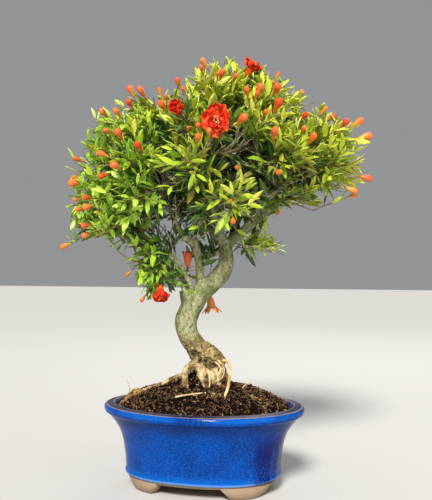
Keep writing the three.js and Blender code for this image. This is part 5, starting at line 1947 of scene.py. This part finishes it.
def petal_shape(seed):
    """A petal of length 1 from the origin along X, facing +Z."""
    bm = bmesh.new()
    bmesh.ops.create_grid(bm, x_segments=11, y_segments=10, size=1)
    shift = Vector((seed * 3.7, seed * 1.9, 0))
    for vert in bm.verts:
        share = (vert.co.x + 1) / 2
        side = vert.co.y
        past = share - PETAL["widest"]
        swell = math.cos(past * 2.2) if past >= 0 else math.sin(math.pi / 2 * share / PETAL["widest"])
        half = PETAL["width"] / 2 * (PETAL["waist"] + (1 - PETAL["waist"]) * swell)
        edge = 1 - 0.12 * side**2 * share
        spot = Vector((share * 2.4, side * 1.6, 0)) + shift
        crumple = 0.5 * share * noise.noise(spot) + 0.07 * share * noise.noise(spot * 2.7)
        frill = 0.03 * share**2 * math.sin(6 * side + seed)
        pleat = 0.1 * share * noise.noise(spot * 1.7 + Vector((9, 4, 2)))
        vert.co = (share * edge + pleat, side * half + pleat, crumple + frill + 0.1 * share**2)
    bmesh.ops.solidify(bm, geom=bm.faces[:], thickness=PETAL["thickness"])
    return template(bm, "petal")


PETALS = [petal_shape(seed) for seed in range(5)]
print(len(PETALS), "petal shapes of", len(PETALS[0].polygons), "faces")

# %% [markdown]
# ## Layers of petals
# The petals stand in three layers round the urn's mouth, the inner ones shorter and steeper. All
# of them alike would make a rosette, so each is drawn, turned and tinted at random, and in a bloom
# that isn't fully open the whole frill stands steeper.

# %% A frill of petals, and its paint
PETAL_LAYERS = [  # how many, how steep in degrees, how long, how far out and up they start
    {"count": 5, "rise": 24, "length": 17, "foot": 3.2, "up": 11.5},
    {"count": 4, "rise": 46, "length": 13, "foot": 2.4, "up": 12.5},
    {"count": 3, "rise": 64, "length": 10, "foot": 1.6, "up": 13},
]
CLOSED = {"low": 30, "top": 20, "upper": 40}  # how much steeper the petals stand, in degrees


def bloom_petals(size, seed, place, steeper):
    rng = random.Random(seed)
    scatter = []
    for layer in PETAL_LAYERS:
        for k in range(layer["count"]):
            angle = math.tau * (k + rng.uniform(-0.15, 0.15)) / layer["count"] + seed
            rise = -math.radians(min(84, layer["rise"] + steeper + rng.uniform(-14, 14)))
            length = layer["length"] * size * rng.uniform(0.7, 1.16)
            turn = Matrix.Rotation(angle, 4, "Z") @ Matrix.Translation((layer["foot"], 0, layer["up"]))
            turn = turn @ Matrix.Rotation(rise, 4, "Y") @ Matrix.Rotation(rng.uniform(-0.3, 0.3), 4, "X")
            colour = (rng.random(), rng.random(), rng.random(), 1.0)
            scatter.append((rng.choice(PETALS), place @ turn @ Matrix.Scale(length, 4), colour))
    return scatter


PETAL_DARK, PETAL_BRIGHT = srgb(200, 20, 16), srgb(226, 58, 22)
PETAL_PAINTED_HIGHLIGHT, PETAL_VEIN = srgb(244, 112, 54), srgb(150, 10, 10)


def petal_paint():
    paint = Paint("crumpled_petal", IOR=1.4, Specular_IOR_Level=0.3)
    at = paint.place()
    tint = paint.attribute("tint", "Color")
    luck = paint.part(tint, "X")
    vein = paint.noise(at, 700, 3.0)
    cloud = paint.noise(at, 130, 2.0)
    red = paint.mix(luck, PETAL_DARK, PETAL_BRIGHT)
    # painted highlight: orange patches on the red petals
    red = paint.mix(paint.ease(cloud, 0.5, 0.62) * 0.75, red, PETAL_PAINTED_HIGHLIGHT)
    red = paint.mix(paint.ease(vein, 0.46, 0.34) * 0.4, red, PETAL_VEIN)
    paint.wear(Base_Color=red, Roughness=0.5 + vein * 0.2, Normal=paint.bump(vein, 0.35))
    return paint


petal_red = petal_paint()
print("a full bloom has", sum(layer["count"] for layer in PETAL_LAYERS), "petals")

# %% [markdown]
# ## Stamens
# The front bloom is open enough to show its stamens: a brush of pale threads with yellow heads.
# They leave the throat of the urn in the order of a sunflower's seeds, so that none stands behind
# another.

# %% Stamens
POLLEN = srgb(240, 176, 110), srgb(252, 236, 190)
STAMENS = {"count": 26, "throat": 11, "length": (6, 9), "head": 0.75}


def bloom_stamens(place, seed):
    """Thin threads from the urn's throat, each with a yellow head."""
    rng = random.Random(seed)
    threads, heads = [], []
    head = stone(7)
    for k in range(STAMENS["count"]):
        way = leaning(UP, bearing(GOLDEN * k, 0), 0.12 + 0.55 * rng.random())
        start = UP * STAMENS["throat"] + Vector((way.x, way.y, 0)) * 1.5
        end = start + way * rng.uniform(*STAMENS["length"])
        middle = start.lerp(end, 0.6)
        threads.append([(place @ start, 0.28), (place @ middle, 0.22), (place @ end, 0.2)])
        spot = place @ Matrix.Translation(end) @ Matrix.Scale(STAMENS["head"], 4)
        heads.append((head, spot, (1.0, 0.0, 0.0, 1.0)))
    return joined("stamens", [rods("threads", threads), copies("heads", heads)])


def stamen_paint():
    paint = Paint("pale_stamen", IOR=1.4, Roughness=0.6)
    dust = paint.noise(paint.place(), 900, 2.0)
    paint.wear(Base_Color=paint.mix(dust, *POLLEN))
    return paint


print("the front bloom gets", STAMENS["count"], "stamens")

# %% [markdown]
# ## Putting the blooms on
# Every bloom is an urn with petals in layers, half open or fully open. Two have none: one is still
# a red tube, and one has dropped them and hangs as a pale star, painted paler still as painted light,
# since it hangs in the trunk's shade. A loop makes all of them, with the size, the ripeness, the
# paleness and the shape of the lobes as values.

# %% All the blooms
CUPS = {  # size, ripeness, paleness, and the lobes' flare, height, notch and point
    "tube": (1.1, 0.8, 0.25, (0.1, 2.8, 1.0, 0.8)),
    # the star is pale, and painted paler still as painted light, since it hangs in the trunk's shade
    "star": (1.15, 0.1, 1.0, (1.7, 3.6, 3.8, 1.2)),
}
PLAIN_CUP = (1.0, 0.9, 0.0, (0.9, 3.6, 3.4, 0.8))
for seed, bloom in enumerate(BLOOMS, 1):
    name = "bloom_" + bloom["name"]
    place = Matrix.Translation(bloom["foot"]) @ upright(bloom["way"], seed)
    grown, ripe, pale, lobes = CUPS.get(bloom["name"], PLAIN_CUP)
    cup = copies(name, [(calyx_shape(*lobes), place @ Matrix.Scale(grown, 4), (ripe, pale, 0.0, 1.0))])
    finish(name + "_urn", cup, waxy, [name + "_calyx"])
    if bloom["petals"]:
        steeper = CLOSED.get(bloom["name"], 0)
        middle = Matrix.Translation(bloom["at"])
        tall = middle @ Matrix.Diagonal((1, 1, bloom.get("stretch", 1), 1)) @ middle.inverted()
        petals = copies(name, bloom_petals(bloom["petals"], seed, tall @ place, steeper))
        finish(name + "_frill", petals, petal_red, [name + "_petals"])
    if bloom["name"] == "front":
        stamens = bloom_stamens(place, seed)
        finish(name + "_threads", stamens, stamen_paint(), [name + "_stamens"])
print(len(BLOOMS), "blooms")


# %% [markdown]
# ## Twigs
# Under the leaves the crown is a net of twigs: grey and bare inside, brown or reddish where they
# are young. All of them are one piece, thin four-sided rods along the lines on which the leaves
# were hung, with bare ones among them. Rounder rods would cost triangles that nobody sees.


# %% Bare twigs inside, and all the twigs
BARE_FROM = 290
BARE_EACH = 6


def bare_twigs(seed):
    """Forked, leafless twigs from the branches and the upper limbs."""
    rng = random.Random(seed)
    upper = [[spot for spot in route if spot[0].z > BARE_FROM] for route in LIMB_ROUTES.values()]
    routes = []
    for line in BRANCHES + [route for route in upper if len(route) > 3]:
        for _ in range(BARE_EACH):
            i = rng.randrange(1, len(line) - 1)
            start = line[i][0]
            ahead = (line[i + 1][0] - start).normalized()
            side = across(ahead)
            out = leaning(side, ahead.cross(side), rng.uniform(0, math.tau))
            way = leaning(ahead, out, math.radians(rng.uniform(25, 65)))
            end = start + way * rng.uniform(26, 58)
            if crown_share(end) > 0.9 or hides_bloom(end):
                continue
            bulge = Vector([rng.gauss(0, 4) for _ in range(3)])
            routes.append(bow(start, start.lerp(end, 0.5) + bulge, end, (1.0, 0.5), 6))
            fork = routes[-1][3][0]
            tip = fork + (way + 0.8 * leaning(side, out, 0.7)).normalized() * rng.uniform(12, 26)
            routes.append(bow(fork, fork.lerp(tip, 0.5) + bulge * 0.3, tip, (0.7, 0.35), 4))
    return routes


YOUNG_TWIG = srgb(124, 78, 48), srgb(140, 132, 70)
OLD_TWIG = srgb(120, 110, 82), srgb(188, 178, 142)


def twig_paint():
    paint = Paint("young_twig", IOR=1.45)
    at = paint.place()
    away = paint.distance(at, HEART)
    patch = paint.noise(at, 60, 2.0)
    young = paint.mix(paint.ease(patch, 0.4, 0.6), *YOUNG_TWIG)
    old = paint.mix(paint.ease(paint.noise(at, 200), 0.4, 0.6), *OLD_TWIG)
    paint.wear(Base_Color=paint.mix(paint.ease(away, 0.15, 0.1), young, old))
    paint.wear(Roughness=0.5 + patch * 0.2)
    return paint


DEAD_TWIGS = [  # short dead ones in the crotch over the first fork
    ((4, 8, 247), (9, 10, 256), (18, 11, 268)), ((8, 10, 254), (9, 12, 262), (12, 11, 272)),
    ((12, 6, 262), (20, 9, 264), (26, 14, 270)),
]
twig_routes += bare_twigs(31)
twig_routes += [bow(*(Vector(spot) for spot in spots), (1.0, 0.5), 5) for spots in DEAD_TWIGS]
twigs = finish("twigs", rods("twigs", twig_routes), twig_paint())
report(twigs)
